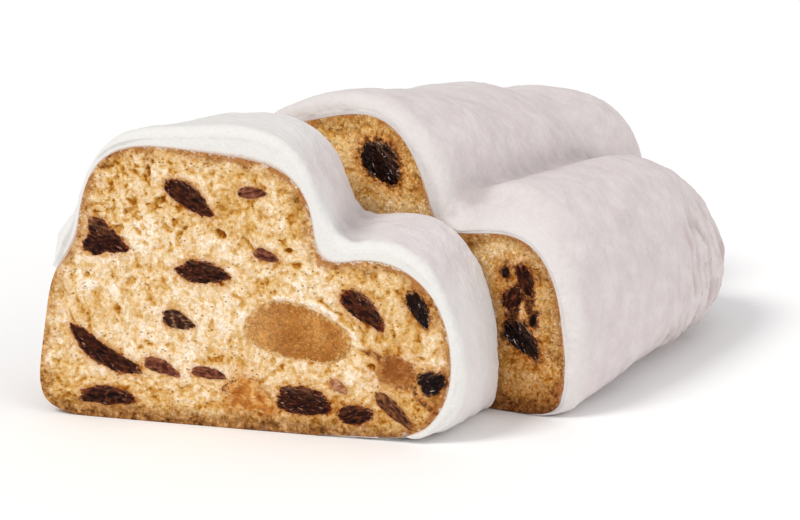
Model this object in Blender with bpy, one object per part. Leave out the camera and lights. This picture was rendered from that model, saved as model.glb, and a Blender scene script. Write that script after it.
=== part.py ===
"""Stollen, cut: one thick slice standing against the cut face of the loaf it came from.

Both pieces are bread with a thick coat of pressed powdered sugar, a rope of marzipan that
runs their whole length, and raisins and candied peel that show where the knife went.
Lengths are in millimetres until the meshes are made, then metres, with +Z up.
"""

import math

import bpy
import numpy as np

MM = 0.001

# ------------------------------------------------------------------ sizes, millimetres
# A cross-section is three blended lobes: the broad body, the tall hump and the low side
# fold. lobe = (centre x, centre z, half width, half height, squareness, tilt in degrees)
SLICE_CRUMB_FRONT = dict(
    body=(-13.0, 15.6, 41.7, 23.7, 4.8, -9.3),
    hump=(-13.7, 28.5, 32.3, 44.3, 4.1, -4.1),
    side=(33.5, 23.0, 21.4, 24.2, 2.2, 6.4),
    blend=8.5,
)
SLICE_CRUMB_BACK = dict(
    body=(-12.0, 16.0, 41.2, 25.0, 4.4, -9.3),
    hump=(-8.5, 30.0, 29.5, 40.8, 3.4, -2.5),
    side=(34.5, 22.0, 22.0, 26.6, 2.3, 6.4),
    blend=7.0,
)
SLICE_COAT_FRONT = dict(
    body=(-11.5, 19.8, 42.6, 24.9, 5.6, -9.1),
    hump=(-9.2, 30.0, 34.6, 49.2, 3.4, 5.0),
    side=(38.2, 25.7, 18.9, 26.5, 2.3, 17.4),
    blend=10.6,
)
SLICE_COAT_BACK = dict(
    body=(-12.8, 25.7, 40.5, 38.4, 3.5, -16.2),
    hump=(-3.6, 31.6, 27.6, 45.0, 2.9, 3.0),
    side=(35.0, 19.5, 25.1, 33.3, 2.5, 6.3),
    blend=5.0,
)
LOAF_CRUMB = dict(
    body=(-10.2, 17.2, 43.7, 32.4, 3.5, -13.3),
    hump=(-7.9, 34.2, 29.1, 39.4, 3.7, 15.4),
    side=(36.6, 20.9, 19.4, 26.8, 2.7, 7.0),
    blend=8.3,
)
LOAF_COAT = dict(
    body=(-12.3, 18.5, 44.9, 26.5, 3.8, -8.4),
    hump=(-13.7, 47.7, 36.9, 30.7, 2.2, 27.1),
    side=(38.9, 20.8, 21.8, 30.8, 2.1, 9.3),
    blend=6.4,
)
LOBES = ("body", "hump", "side")

SLICE_DEPTH = 32.0  # thickness of the slice, front cut to back cut
CENTRE_X = 5.0  # the floor point that a section's rays start from
BASE_ROUND = 5.0  # the rounding between the sides and the flat base
BASE_GROWS, BASE_GROWS_OVER = 11.0, 40.0  # the loaf is rounder at its foot away from the cut
LOW_RAY, HIGH_RAY = 1.5, 178.5  # the first and last ray of a section, degrees

LOAF_YAW = -13.0  # the loaf is turned a little from the slice
LOAF_PIVOT = (65.0, 31.7)  # floor point of the loaf's cut face, beside the slice's back
LOAF_BASE_X = 43.0  # that point's x in the loaf's own section

# Each lobe of the loaf ends and rounds off on its own along the length.
LOAF_END = dict(body=150.0, hump=149.0, side=120.0)
LOAF_ROUND = dict(body=62.0, hump=44.0, side=50.0)
LOAF_ROUND_POWER = dict(body=2.3, hump=2.2, side=2.1)
LAST_ROUND = 0.24  # the share of full size at which the rounded end is capped
HUMP_FALL = 0.155  # the ridge drops by this much for each millimetre along the loaf
HUMP_SWELL, HUMP_SWELL_AT, HUMP_SWELL_LEN = 3.0, 66.0, 18.0
SIDE_SWELL, SIDE_SWELL_LEN, SIDE_FALL = 8.5, 13.0, 0.085
COAT_AT_END = 5.0  # the coat's thickness over the rounded end

GAP = 0.3  # left between neighbouring pieces
COAT_GAP = 0.45  # between the crust and the coat at a cut, along a section's rays
COAT_GAP_GROWS = 0.75  # and this much more further along the loaf
COAT_THIN = 0.8  # the coat's least thickness
FOOT_GAP, FOOT_WIDE = 4.0, 24.0  # the gap is wider at the rounded foot, by this share, below this ray
RIM = 1.1  # the coat's softened edge at a cut
COAT_LEFT = 144.0  # the ray at which the coat stops on the left of the cut faces
COAT_WRAP = 70.0  # by this far along the loaf it reaches the floor there too

# The middle of the whole, which goes to the origin.
MIDDLE = (24.15, 95.62)

# Pieces in a cut face: (x, z, length, width, lean in degrees, bend, three-cornered share)
SLICE_RAISINS = (
    (-13.8, 60.6, 14.6, 5.8, -33, 0.5, 0.06),
    (2.9, 62.8, 7.6, 3.0, 2, 0.2, 0.05),
    (-37.2, 48.1, 11.6, 8.4, -16, 0.0, 0.24),
    (-10.4, 41.1, 13.8, 5.9, -7, 0.5, 0.05),
    (6.4, 46.7, 6.5, 3.2, -12, 0.2, 0.08),
    (-17.4, 28.0, 9.6, 4.4, -14, 0.3, 0.10),
    (-37.8, 17.9, 22.4, 5.6, -31, -2.2, 0.04),
    (-22.3, 15.0, 9.6, 3.9, -19, 0.4, 0.08),
    (-9.2, 14.3, 9.0, 3.2, -6, 0.4, 0.06),
    (-37.2, 5.9, 16.0, 4.8, 2, 0.6, 0.04),
    (31.9, 34.5, 14.0, 6.2, -39, 0.5, 0.07),
    (46.6, 35.6, 9.6, 4.6, -64, 0.4, 0.06),
    (50.0, 16.5, 7.6, 6.2, 28, 0.0, 0.15),
    (16.4, 8.8, 15.4, 7.6, -7, 0.5, 0.06),
    (29.8, 6.4, 9.6, 5.2, 3, -0.5, 0.05),
    (39.8, 8.7, 12.6, 4.0, -42, 0.4, 0.05),
    (25.4, 13.6, 5.3, 2.6, -26, 0.1, 0.05),
)
SLICE_PEEL = (
    (40.6, 18.8, 10.4, 8.2, -12, 0.0, 0.14),
    (1.6, 8.9, 12.2, 8.0, -26, 0.6, 0.16),
)
SLICE_BACK_RAISINS = (
    (-24.0, 57.0, 12.0, 6.4, 24, 0.4, 0.08),
    (8.0, 52.0, 9.4, 5.2, -50, 0.3, 0.08),
    (-36.0, 24.0, 13.6, 5.4, -12, -0.6, 0.06),
    (-9.0, 14.0, 10.4, 5.8, 14, 0.4, 0.12),
    (39.0, 30.0, 10.8, 6.0, -35, 0.3, 0.08),
)
LOAF_RAISINS = (
    (2.5, 62.9, 13.4, 9.6, -48, 0.3, 0.07),
    (39.3, 37.6, 2.9, 2.1, 70, 0.0, 0.05),
    (44.9, 36.4, 9.2, 4.4, -68, 0.3, 0.08),
    (41.2, 31.0, 7.0, 4.8, 62, 0.2, 0.08),
    (44.0, 20.6, 13.0, 6.4, -44, 0.3, 0.10),
    (47.3, 25.9, 3.8, 2.0, 74, 0.0, 0.05),
    (-32.0, 46.0, 12.4, 6.2, -30, 0.4, 0.08),
    (-36.0, 19.0, 13.0, 5.6, 12, 0.4, 0.06),
    (-10.0, 31.0, 11.6, 6.0, -18, 0.4, 0.10),
    (4.0, 11.0, 12.4, 6.6, 8, -0.4, 0.08),
)
RAISIN_PROUD, RAISIN_DEEP = 0.7, 4.6  # how far it stands out of the cut, and goes in
# The marzipan rope: (x, z, width, height, lean, bend)
SLICE_MARZIPAN = (14.8, 26.8, 28.0, 14.4, -11.0, 0.8)
LOAF_MARZIPAN = (15.6, 27.4, 27.0, 14.6, -8.0, 0.8)
LOAF_MARZIPAN_END = 118.0
MARZIPAN_PROUD = 0.35

# ------------------------------------------------------------------ sections


def smooth(t):
    t = np.clip(t, 0.0, 1.0)
    return t * t * (3 - 2 * t)


def lobe_field(x, z, lobe):
    """Negative inside the lobe, about a distance near its edge."""
    cx, cz, w, h, power, tilt = lobe
    ct, st = math.cos(math.radians(tilt)), math.sin(math.radians(tilt))
    u = np.abs((x - cx) * ct + (z - cz) * st) / w
    v = np.abs(-(x - cx) * st + (z - cz) * ct) / h
    return ((u**power + v**power + 1e-12) ** (1 / power) - 1) * min(w, h)


def blend_min(a, b, k):
    m = np.clip(0.5 + 0.5 * (b - a) / k, 0, 1)
    return b * (1 - m) + a * m - k * m * (1 - m)


def lobes_field(x, z, section):
    f = None
    for key in LOBES:
        if key in section:
            g = lobe_field(x, z, section[key])
            f = g if f is None else blend_min(f, g, section["blend"])
    return f


def section_field(x, z, section):
    return -blend_min(-lobes_field(x, z, section), z, section.get("base", BASE_ROUND))


def reach(rays, section, centre):
    """How far each ray goes from the floor point to the section's edge."""
    low, high = np.zeros_like(rays), np.full_like(rays, 120.0)
    for _ in range(34):
        mid = (low + high) / 2
        inside = section_field(centre + mid * np.cos(rays), mid * np.sin(rays), section) < 0
        low, high = np.where(inside, mid, low), np.where(inside, high, mid)
    return (low + high) / 2


def base_reach(section, centre, way):
    """Half width of the flat base, to where the rounding starts, one way from the centre."""
    low, high = 0.0, 120.0
    limit = -section.get("base", BASE_ROUND)
    for _ in range(34):
        mid = (low + high) / 2
        if lobes_field(np.array([centre + way * mid]), np.array([0.0]), section)[0] < limit:
            low = mid
        else:
            high = mid
    return centre + way * (low + high) / 2


def between(a, b, s):
    out = {k: tuple(np.array(a[k]) * (1 - s) + np.array(b[k]) * s) for k in LOBES}
    out["blend"] = a["blend"] * (1 - s) + b["blend"] * s
    return out


def round_off(t, key, short):
    start = LOAF_END[key] - short - LOAF_ROUND[key]
    tau = min(max((t - start) / LOAF_ROUND[key], 0.0), 0.99999)
    power = LOAF_ROUND_POWER[key]
    return (1 - tau**power) ** (1 / power)


def loaf_section(t, full, short=0.0):
    """The loaf's section t along it; short takes that much off its rounded end."""
    round_base = BASE_ROUND + BASE_GROWS * float(smooth(t / BASE_GROWS_OVER))
    out = {"blend": full["blend"], "base": round_base}
    for key in LOBES:
        cx, cz, w, h, power, tilt = full[key]
        q = round_off(t, key, short)
        if q < 0.12:
            continue
        if key == "hump":
            cz -= HUMP_FALL * min(t, 110.0) - 1.2 * math.sin(t / 17.0) * smooth(t / 10)
            cz += HUMP_SWELL * math.exp(-(((t - HUMP_SWELL_AT) / HUMP_SWELL_LEN) ** 2))
            tilt *= 1 - 0.5 * smooth(t / 50)
            cx += 4.0 * smooth(t / 40)
        if key == "side":
            swell = 0.5 * (SIDE_SWELL * smooth(t / SIDE_SWELL_LEN) - SIDE_FALL * t)
            cz += swell
            h += swell
            w += 1.0 * smooth(t / 40)
            cx += 2.0 * smooth(t / 40) - 13.0 * (1 - q) ** 2
        if key == "body":
            out["base"] = round_base * q**2
        out[key] = (cx, cz * q**0.7, w * q, h * q, power, tilt)
    return out


def loaf_centre(t):
    return CENTRE_X + (-12.0 - CENTRE_X) * smooth((t - 90.0) / 50.0)


def last_row(short=0.0):
    """Where along the loaf its rounded end is capped."""
    power = LOAF_ROUND_POWER["body"]
    tau = (1 - LAST_ROUND**power) ** (1 / power)
    return LOAF_END["body"] - short - LOAF_ROUND["body"] * (1 - tau)


def lumps(angle, y):
    """The uneven hand-dredged surface of the coat."""
    return (
        0.5 * np.sin(angle * 5.0 + 0.09 * y)
        + 0.4 * np.sin(angle * 9.0 - 0.13 * y + 1.7)
        + 0.35 * np.sin(angle * 3.0 + 0.21 * y + 0.6)
    )


# ------------------------------------------------------------------ meshes


def make_object(name, points, faces, material, parent=None, location=(0, 0, 0)):
    """points in millimetres, in the parent's frame, less the location"""
    mesh = bpy.data.meshes.new(name)
    mesh.from_pydata([tuple(float(c) * MM for c in p) for p in points], [], faces)
    mesh.validate()
    mesh.shade_smooth()
    mesh.set_sharp_from_angle(angle=math.radians(50))
    if material:
        mesh.materials.append(material)
    obj = bpy.data.objects.new(name, mesh)
    obj.parent = parent
    obj.location = [c * MM for c in location]
    bpy.context.scene.collection.objects.link(obj)
    return obj


def grid_faces(rows, columns, first=0, flip=False):
    """Quads between rows of points, each row going right to left over the top."""
    faces = []
    for j in range(rows - 1):
        for i in range(columns - 1):
            a = first + j * columns + i
            quad = (a, a + columns, a + columns + 1, a + 1)
            faces.append(quad[::-1] if flip else quad)
    return faces


def crumb_rows(section_at, centre_at, stations, rays):
    """Rows of points for the bread: right base corner, the arch, left base corner."""
    rows = []
    for y in stations:
        section, centre = section_at(y), centre_at(y)
        r = reach(rays, section, centre)
        row = [(base_reach(section, centre, 1), y, 0.0)]
        row += [(centre + d * math.cos(a), y, d * math.sin(a)) for d, a in zip(r, rays)]
        row.append((base_reach(section, centre, -1), y, 0.0))
        rows.append(row)
    return rows


def crumb_mesh(rows, tip=None):
    """Closed bread: cut front, arch, flat base, and a flat back or a rounded tip."""
    columns = len(rows[0])
    points = [p for row in rows for p in row]
    faces = grid_faces(len(rows), columns)
    faces.append(tuple(range(columns)))  # the front cut, facing -Y
    last = (len(rows) - 1) * columns
    if tip is None:
        faces.append(tuple(range(last + columns - 1, last - 1, -1)))
    else:
        points.append(tip)
        pole = len(points) - 1
        for i in range(columns - 1):
            faces.append((last + i + 1, last + i, pole))
        faces.append((last, last + columns - 1, pole))
    for j in range(len(rows) - 1):  # the base, facing down
        a, b = j * columns, (j + 1) * columns
        faces.append((a, a + columns - 1, b + columns - 1, b))
    return points, faces


def shell_mesh(outer, inner, outer_tip=None, inner_tip=None):
    """Closed coat between an outer and an inner grid of points of the same size."""
    rows, columns = len(outer), len(outer[0])
    points = [p for row in outer for p in row]
    offset = len(points)
    points += [p for row in inner for p in row]
    faces = grid_faces(rows, columns) + grid_faces(rows, columns, offset, flip=True)
    for i in range(columns - 1):  # the rim at the front cut
        faces.append((i, i + 1, offset + i + 1, offset + i))
    last = (rows - 1) * columns
    if outer_tip is None:
        for i in range(columns - 1):
            faces.append((last + i + 1, last + i, offset + last + i, offset + last + i + 1))
    else:
        points += [outer_tip, inner_tip]
        out_pole, in_pole = len(points) - 2, len(points) - 1
        for i in range(columns - 1):
            faces.append((last + i + 1, last + i, out_pole))
            faces.append((offset + last + i, offset + last + i + 1, in_pole))
        a, b = last, last + columns - 1
        faces.append((a, b, out_pole))
        faces.append((offset + b, offset + a, in_pole))
        faces.append((b, a, offset + a, offset + b))
    for j in range(rows - 1):  # the two long edges
        a, b = j * columns, (j + 1) * columns
        faces.append((b, a, offset + a, offset + b))
        a, b = a + columns - 1, b + columns - 1
        faces.append((a, b, offset + b, offset + a))
    return points, faces


def wrinkled(length, width, bend, corner, grow, proud, deep, turn, segments=8, rings=(30, 64, 100, 142)):
    """A raisin or a piece of peel: a bent, dented pip with its widest ring at the cut."""
    a_half, b_half = length / 2 + grow, width / 2 + grow
    points = [(0.0, -proud, bend * 0.4)]
    for tilt in rings:
        phi = math.radians(tilt)
        share = math.sin(phi) ** 0.75
        y = -proud * math.cos(phi) if tilt < 90 else -deep * math.cos(phi)
        for i in range(segments):
            a = 2 * math.pi * i / segments
            dent = 1 + corner * math.cos(3 * a) + 0.04 * math.sin(2 * a + turn)
            x = a_half * share * dent * math.cos(a)
            z = b_half * share * dent * math.sin(a)
            z += bend * (0.4 - (x / a_half) ** 2)
            points.append((x, y, z))
    points.append((0.0, deep, bend * 0.4))
    faces = []
    for i in range(segments):
        k = (i + 1) % segments
        faces.append((0, 1 + i, 1 + k))
        for j in range(len(rings) - 1):
            a, b = 1 + j * segments, 1 + (j + 1) * segments
            faces.append((a + k, a + i, b + i, b + k))
        faces.append((len(points) - 1, 1 + (len(rings) - 1) * segments + k, 1 + (len(rings) - 1) * segments + i))
    return points, faces


def rope(size, stations, grow, segments=16):
    """The marzipan rope: (y, share of full size, drift in x) for each station."""
    _, _, width, height, _, bend = size
    points, faces = [], []
    for y, share, drift in stations:
        for i in range(segments):
            a = 2 * math.pi * i / segments
            c, s = math.cos(a), math.sin(a)
            k = (abs(c) ** 2.3 + abs(s) ** 2.3) ** (-1 / 2.3)
            x = (width / 2 + grow) * share * k * c * (1 + 0.04 * math.sin(2 * a))
            z = (height / 2 + grow) * share * k * s * (1 + 0.06 * math.cos(3 * a))
            points.append((x + drift, y, z + bend * (0.4 - (2 * x / width) ** 2)))
    for j in range(len(stations) - 1):
        for i in range(segments):
            k = (i + 1) % segments
            a, b = j * segments, (j + 1) * segments
            faces.append((a + k, a + i, b + i, b + k))
    last = (len(stations) - 1) * segments
    faces.append(tuple(range(segments)))
    faces.append(tuple(range(last + segments - 1, last - 1, -1)))
    return points, faces


def leaned(points, degrees):
    ct, st = math.cos(math.radians(degrees)), math.sin(math.radians(degrees))
    return [(x * ct - z * st, y, x * st + z * ct) for x, y, z in points]


# ------------------------------------------------------------------ pieces


def material(name, colour, roughness):
    made = bpy.data.materials.new(name)
    made.use_nodes = True
    shader = made.node_tree.nodes["Principled BSDF"]
    shader.inputs["Base Color"].default_value = (*colour, 1.0)
    shader.inputs["Roughness"].default_value = roughness
    shader.inputs["Metallic"].default_value = 0.0
    made.diffuse_color = (*colour, 1.0)
    return made


def pocket(host, points, faces, parent, location):
    """Cuts a hollow for a piece into the bread, a gap larger than the piece."""
    cutter = make_object(host.name + "_pocket", points, faces, None, parent, location)
    cutter.hide_render = True
    cutter.display_type = "WIRE"
    cut = host.modifiers.new("pocket", "BOOLEAN")
    cut.operation = "DIFFERENCE"
    cut.solver = "EXACT"
    cut.object = cutter


def add_pips(host, parent, prefix, entries, shader, face_y, way, x_shift=0.0):
    """Raisins or peel in a cut face at face_y; way is +1 for a face looking at -Y."""
    for number, (x, z, length, width, lean, bend, corner) in enumerate(entries, 1):
        turn = 1.7 * number
        deep = min(RAISIN_DEEP, 1.6 + 0.55 * width)
        proud = min(RAISIN_PROUD, 0.12 * width + 0.1)
        for grow in (0.0, GAP):
            points, faces = wrinkled(length, width, bend, corner, grow, proud + grow * 3, deep + grow, turn)
            shift = -0.12 if grow else 0.0
            points = [(px, way * (py + shift), pz) for px, py, pz in leaned(points, lean)]
            if way < 0:
                faces = [face[::-1] for face in faces]
            place = (x - x_shift, face_y, z)
            if grow:
                pocket(host, points, faces, parent, place)
            else:
                make_object(f"{prefix}_{number:02d}", points, faces, shader, parent, place)


def coat_rows(outer_at, inner_at, centre_at, stations, left_at, rays, rim_rows, grows=0.0):
    """Outer and inner rows of the coat. left_at gives the ray where it stops."""
    outer, inner = [], []
    for j, (y_out, y_in) in enumerate(stations):
        span = np.radians(LOW_RAY + (left_at(y_out) - LOW_RAY) * rays)
        centre = centre_at(y_in)
        foot = np.exp(-((span / math.radians(FOOT_WIDE)) ** 2))
        gap = COAT_GAP + grows * smooth(y_in / 9.0) * (1 + FOOT_GAP * foot)
        r_in = reach(span, inner_at(y_in), centre) + gap
        inner.append([(centre + d * math.cos(a), y_in, d * math.sin(a)) for d, a in zip(r_in, span)])
        centre = centre_at(y_out)
        r_out = reach(span, outer_at(y_out), centre) + lumps(span, y_out) * smooth(np.sin(span) * 4)
        r_base = reach(span, inner_at(min(y_out, y_in)), centre) + gap
        open_end = smooth((178.0 - left_at(y_out)) / 20.0)
        fade = 1 - open_end * (1 - smooth((span[-1] - span) / math.radians(16.0)))
        r_out = r_base + COAT_THIN + (np.maximum(r_out - r_base - COAT_THIN, 0.0)) * fade
        if j in rim_rows:
            r_out = r_out - np.minimum(RIM * 0.8, (r_out - r_base) * 0.4)
        outer.append([(centre + d * math.cos(a), y_out, d * math.sin(a)) for d, a in zip(r_out, span)])
    return outer, inner


def build_slice(root, mats):
    def crumb_at(y):
        return between(SLICE_CRUMB_FRONT, SLICE_CRUMB_BACK, y / SLICE_DEPTH)

    def coat_at(y):
        return between(SLICE_COAT_FRONT, SLICE_COAT_BACK, y / SLICE_DEPTH)

    def centre_at(y):
        return CENTRE_X

    rays = np.radians(np.linspace(LOW_RAY, HIGH_RAY, 54))
    rows = crumb_rows(crumb_at, centre_at, np.linspace(0.0, SLICE_DEPTH, 4), rays)
    crumb = make_object("slice_crumb", *crumb_mesh(rows), mats["crumb"], root)

    depths = [0.0, RIM, 11.0, 21.0, SLICE_DEPTH - RIM, SLICE_DEPTH]
    outer, inner = coat_rows(
        coat_at, crumb_at, centre_at, [(y, y) for y in depths], lambda y: COAT_LEFT,
        np.linspace(0.0, 1.0, 46), (0, len(depths) - 1),
    )
    make_object("slice_sugar_coat", *shell_mesh(outer, inner), mats["sugar"], root)

    x, z, _, _, lean, _ = SLICE_MARZIPAN
    proud = MARZIPAN_PROUD
    ends = [(-proud, 0.9, 0.0), (0.05, 0.985, 0.0), (SLICE_DEPTH / 2, 1.0, 0.0),
            (SLICE_DEPTH - 0.05, 0.985, 0.0), (SLICE_DEPTH + proud, 0.9, 0.0)]
    points, faces = rope(SLICE_MARZIPAN, ends, 0.0)
    make_object("slice_marzipan", leaned(points, lean), faces, mats["marzipan"], root, (x, 0, z))
    points, faces = rope(SLICE_MARZIPAN, [(-2.0, 1, 0), (SLICE_DEPTH + 2.0, 1, 0)], GAP)
    pocket(crumb, leaned(points, lean), faces, root, (x, 0, z))

    add_pips(crumb, root, "slice_raisin", SLICE_RAISINS, mats["raisin"], 0.0, 1)
    add_pips(crumb, root, "slice_peel", SLICE_PEEL, mats["peel"], 0.0, 1)
    add_pips(crumb, root, "slice_back_raisin", SLICE_BACK_RAISINS, mats["raisin"], SLICE_DEPTH, -1)


def build_loaf(root, mats):
    shift = LOAF_BASE_X

    def moved(rows):
        return [[(x - shift, y, z) for x, y, z in row] for row in rows]

    # Stations crowd where the side fold swells behind the cut, and towards the rounded end.
    share = np.concatenate([
        np.array([0.0, RIM, 4.5, 8.5, SIDE_SWELL_LEN, 20.0]) / LOAF_END["body"],
        np.linspace(0.22, 0.6, 4),
        0.6 + 0.4 * np.sin(np.linspace(0, np.pi / 2, 9)[1:]),
    ])
    short = COAT_AT_END
    rays = np.radians(np.linspace(LOW_RAY, HIGH_RAY, 37))
    rows = crumb_rows(
        lambda t: loaf_section(t, LOAF_CRUMB, short), loaf_centre, share * last_row(short), rays
    )
    tip = (-12.0 - shift, LOAF_END["body"] - short, 3.2)
    crumb = make_object("loaf_crumb", *crumb_mesh(moved(rows), tip), mats["crumb"], root)

    near = short - 1.0  # the coat's inside stays clear of the crust at the rounded end
    stations = list(zip(share * last_row(), share * last_row(near)))

    def left_at(t):
        return COAT_LEFT + (HIGH_RAY - COAT_LEFT) * smooth(t / COAT_WRAP)

    outer, inner = coat_rows(
        lambda t: loaf_section(t, LOAF_COAT), lambda t: loaf_section(t, LOAF_CRUMB, near), loaf_centre,
        stations, left_at, np.linspace(0.0, 1.0, 37), (0,), COAT_GAP_GROWS,
    )
    out_tip = (-12.0 - shift, LOAF_END["body"], 3.6)
    in_tip = (-12.0 - shift, LOAF_END["body"] - near, 3.4)
    make_object("loaf_sugar_coat", *shell_mesh(moved(outer), moved(inner), out_tip, in_tip), mats["sugar"], root)

    x, z, _, _, lean, _ = LOAF_MARZIPAN
    place = (x - shift, 0, z)
    end = LOAF_MARZIPAN_END
    run = [(-MARZIPAN_PROUD, 0.9), (0.05, 0.985), (end * 0.33, 1.0), (end * 0.6, 0.92), (end * 0.85, 0.72), (end * 0.97, 0.46), (end, 0.22)]
    points, faces = rope(LOAF_MARZIPAN, [(y, s, -0.0009 * y * y) for y, s in run], 0.0)
    make_object("loaf_marzipan", leaned(points, lean), faces, mats["marzipan"], root, place)
    run = [(-2.0, 1.0)] + run[2:-1] + [(end + GAP + 0.2, 0.3)]
    points, faces = rope(LOAF_MARZIPAN, [(y, s, -0.0009 * y * y if y > 0 else 0.0) for y, s in run], GAP + 0.15)
    pocket(crumb, leaned(points, lean), faces, root, place)

    add_pips(crumb, root, "loaf_raisin", LOAF_RAISINS, mats["raisin"], 0.0, 1, shift)


def main():
    for obj in list(bpy.data.objects):
        bpy.data.objects.remove(obj, do_unlink=True)
    mats = {
        "crumb": material("stollen_crumb", (0.71, 0.47, 0.22), 0.85),
        "sugar": material("powdered_sugar", (0.86, 0.83, 0.83), 0.9),
        "raisin": material("raisin", (0.035, 0.015, 0.010), 0.35),
        "marzipan": material("marzipan", (0.56, 0.29, 0.09), 0.6),
        "peel": material("candied_peel", (0.60, 0.25, 0.05), 0.3),
    }
    slice_root = bpy.data.objects.new("slice", None)
    slice_root.location = (-MIDDLE[0] * MM, -MIDDLE[1] * MM, 0)
    loaf_root = bpy.data.objects.new("loaf", None)
    loaf_root.parent = slice_root
    loaf_root.location = (LOAF_PIVOT[0] * MM, LOAF_PIVOT[1] * MM, 0)
    loaf_root.rotation_euler = (0, 0, math.radians(LOAF_YAW))
    for empty in (slice_root, loaf_root):
        bpy.context.scene.collection.objects.link(empty)
    build_slice(slice_root, mats)
    build_loaf(loaf_root, mats)


main()
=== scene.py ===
"""Looks of the cut stollen: bread crumb, crust, pressed sugar coat, raisins, peel, marzipan.

Shapes are worked out in millimetres in the slice's own frame (x across the cut, y into the
bread, z up) and in the loaf's own frame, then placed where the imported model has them.
"""

import math

import bpy
import numpy as np
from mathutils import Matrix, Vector
from mathutils.geometry import delaunay_2d_cdt
from mathutils.kdtree import KDTree


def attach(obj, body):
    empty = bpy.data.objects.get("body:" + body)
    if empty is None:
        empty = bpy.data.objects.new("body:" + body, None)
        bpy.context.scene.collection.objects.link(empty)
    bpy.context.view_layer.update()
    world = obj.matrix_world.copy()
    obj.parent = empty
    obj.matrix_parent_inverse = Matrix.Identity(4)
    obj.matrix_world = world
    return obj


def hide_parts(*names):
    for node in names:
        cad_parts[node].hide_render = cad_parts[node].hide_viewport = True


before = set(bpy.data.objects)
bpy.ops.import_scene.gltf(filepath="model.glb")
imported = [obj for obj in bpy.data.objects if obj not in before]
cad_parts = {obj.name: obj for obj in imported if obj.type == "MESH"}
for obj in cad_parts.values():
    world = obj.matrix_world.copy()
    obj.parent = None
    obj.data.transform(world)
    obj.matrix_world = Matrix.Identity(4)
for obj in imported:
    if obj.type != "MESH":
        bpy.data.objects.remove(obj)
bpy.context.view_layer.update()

MM = 0.001
MIDDLE = (24.15, 95.62)  # the middle of the whole, in the slice's frame

# ------------------------------------------------------------------ camera

VIEW_AZIMUTH, VIEW_ELEVATION = 15.2, 15.0  # to the right of the cut's normal, and above
VIEW_DISTANCE = 0.75
VIEW_TARGET = (41.83, 0.0, 48.1)


def add_camera():
    az, el = math.radians(VIEW_AZIMUTH), math.radians(VIEW_ELEVATION)
    back = Vector((math.sin(az) * math.cos(el), -math.cos(az) * math.cos(el), math.sin(el)))
    target = Vector(((VIEW_TARGET[0] - MIDDLE[0]) * MM, (VIEW_TARGET[1] - MIDDLE[1]) * MM, VIEW_TARGET[2] * MM))
    data = bpy.data.cameras.new("camera")
    data.sensor_width = 36.0
    data.lens = 135.0
    data.clip_start, data.clip_end = 0.01, 50.0
    cam = bpy.data.objects.new("camera", data)
    cam.location = target + back * VIEW_DISTANCE
    cam.rotation_euler = (-back).to_track_quat("-Z", "Y").to_euler()
    bpy.context.scene.collection.objects.link(cam)
    bpy.context.scene.camera = cam


add_camera()

# ------------------------------------------------------------------ sizes, as in the solids

SLICE_CRUMB_FRONT = dict(
    body=(-13.0, 15.6, 41.7, 23.7, 4.8, -9.3), hump=(-13.7, 28.5, 32.3, 44.3, 4.1, -4.1),
    side=(33.5, 23.0, 21.4, 24.2, 2.2, 6.4), blend=8.5,
)
SLICE_CRUMB_BACK = dict(
    body=(-12.0, 16.0, 41.2, 25.0, 4.4, -9.3), hump=(-8.5, 30.0, 29.5, 40.8, 3.4, -2.5),
    side=(34.5, 22.0, 22.0, 26.6, 2.3, 6.4), blend=7.0,
)
SLICE_COAT_FRONT = dict(
    body=(-11.5, 19.8, 42.6, 24.9, 5.6, -9.1), hump=(-9.2, 30.0, 34.6, 49.2, 3.4, 5.0),
    side=(38.2, 25.7, 18.9, 26.5, 2.3, 17.4), blend=10.6,
)
SLICE_COAT_BACK = dict(
    body=(-12.8, 25.7, 40.5, 38.4, 3.5, -16.2), hump=(-3.6, 31.6, 27.6, 45.0, 2.9, 3.0),
    side=(35.0, 19.5, 25.1, 33.3, 2.5, 6.3), blend=5.0,
)
LOAF_CRUMB = dict(
    body=(-10.2, 17.2, 43.7, 32.4, 3.5, -13.3), hump=(-7.9, 34.2, 29.1, 39.4, 3.7, 15.4),
    side=(36.6, 20.9, 19.4, 26.8, 2.7, 7.0), blend=8.3,
)
LOAF_COAT = dict(
    body=(-12.3, 18.5, 44.9, 26.5, 3.8, -8.4), hump=(-13.7, 47.7, 36.9, 30.7, 2.2, 27.1),
    side=(38.9, 20.8, 21.8, 30.8, 2.1, 9.3), blend=6.4,
)
LOBES = ("body", "hump", "side")
SLICE_DEPTH = 32.0
CENTRE_X = 5.0
BASE_ROUND = 5.0
BASE_GROWS, BASE_GROWS_OVER = 11.0, 40.0
LOAF_YAW = -13.0
LOAF_PIVOT = (65.0, 31.7)
LOAF_BASE_X = 43.0
LOAF_END = dict(body=150.0, hump=149.0, side=120.0)
LOAF_ROUND = dict(body=62.0, hump=44.0, side=50.0)
LOAF_ROUND_POWER = dict(body=2.3, hump=2.2, side=2.1)
LAST_ROUND = 0.24
HUMP_FALL = 0.155
HUMP_SWELL, HUMP_SWELL_AT, HUMP_SWELL_LEN = 3.0, 66.0, 18.0
SIDE_SWELL, SIDE_SWELL_LEN, SIDE_FALL = 8.5, 13.0, 0.085
COAT_AT_END = 5.0
COAT_LEFT = 144.0
COAT_WRAP = 70.0
RIM = 2.8  # radius of the coat's softened edge at a cut

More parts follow.
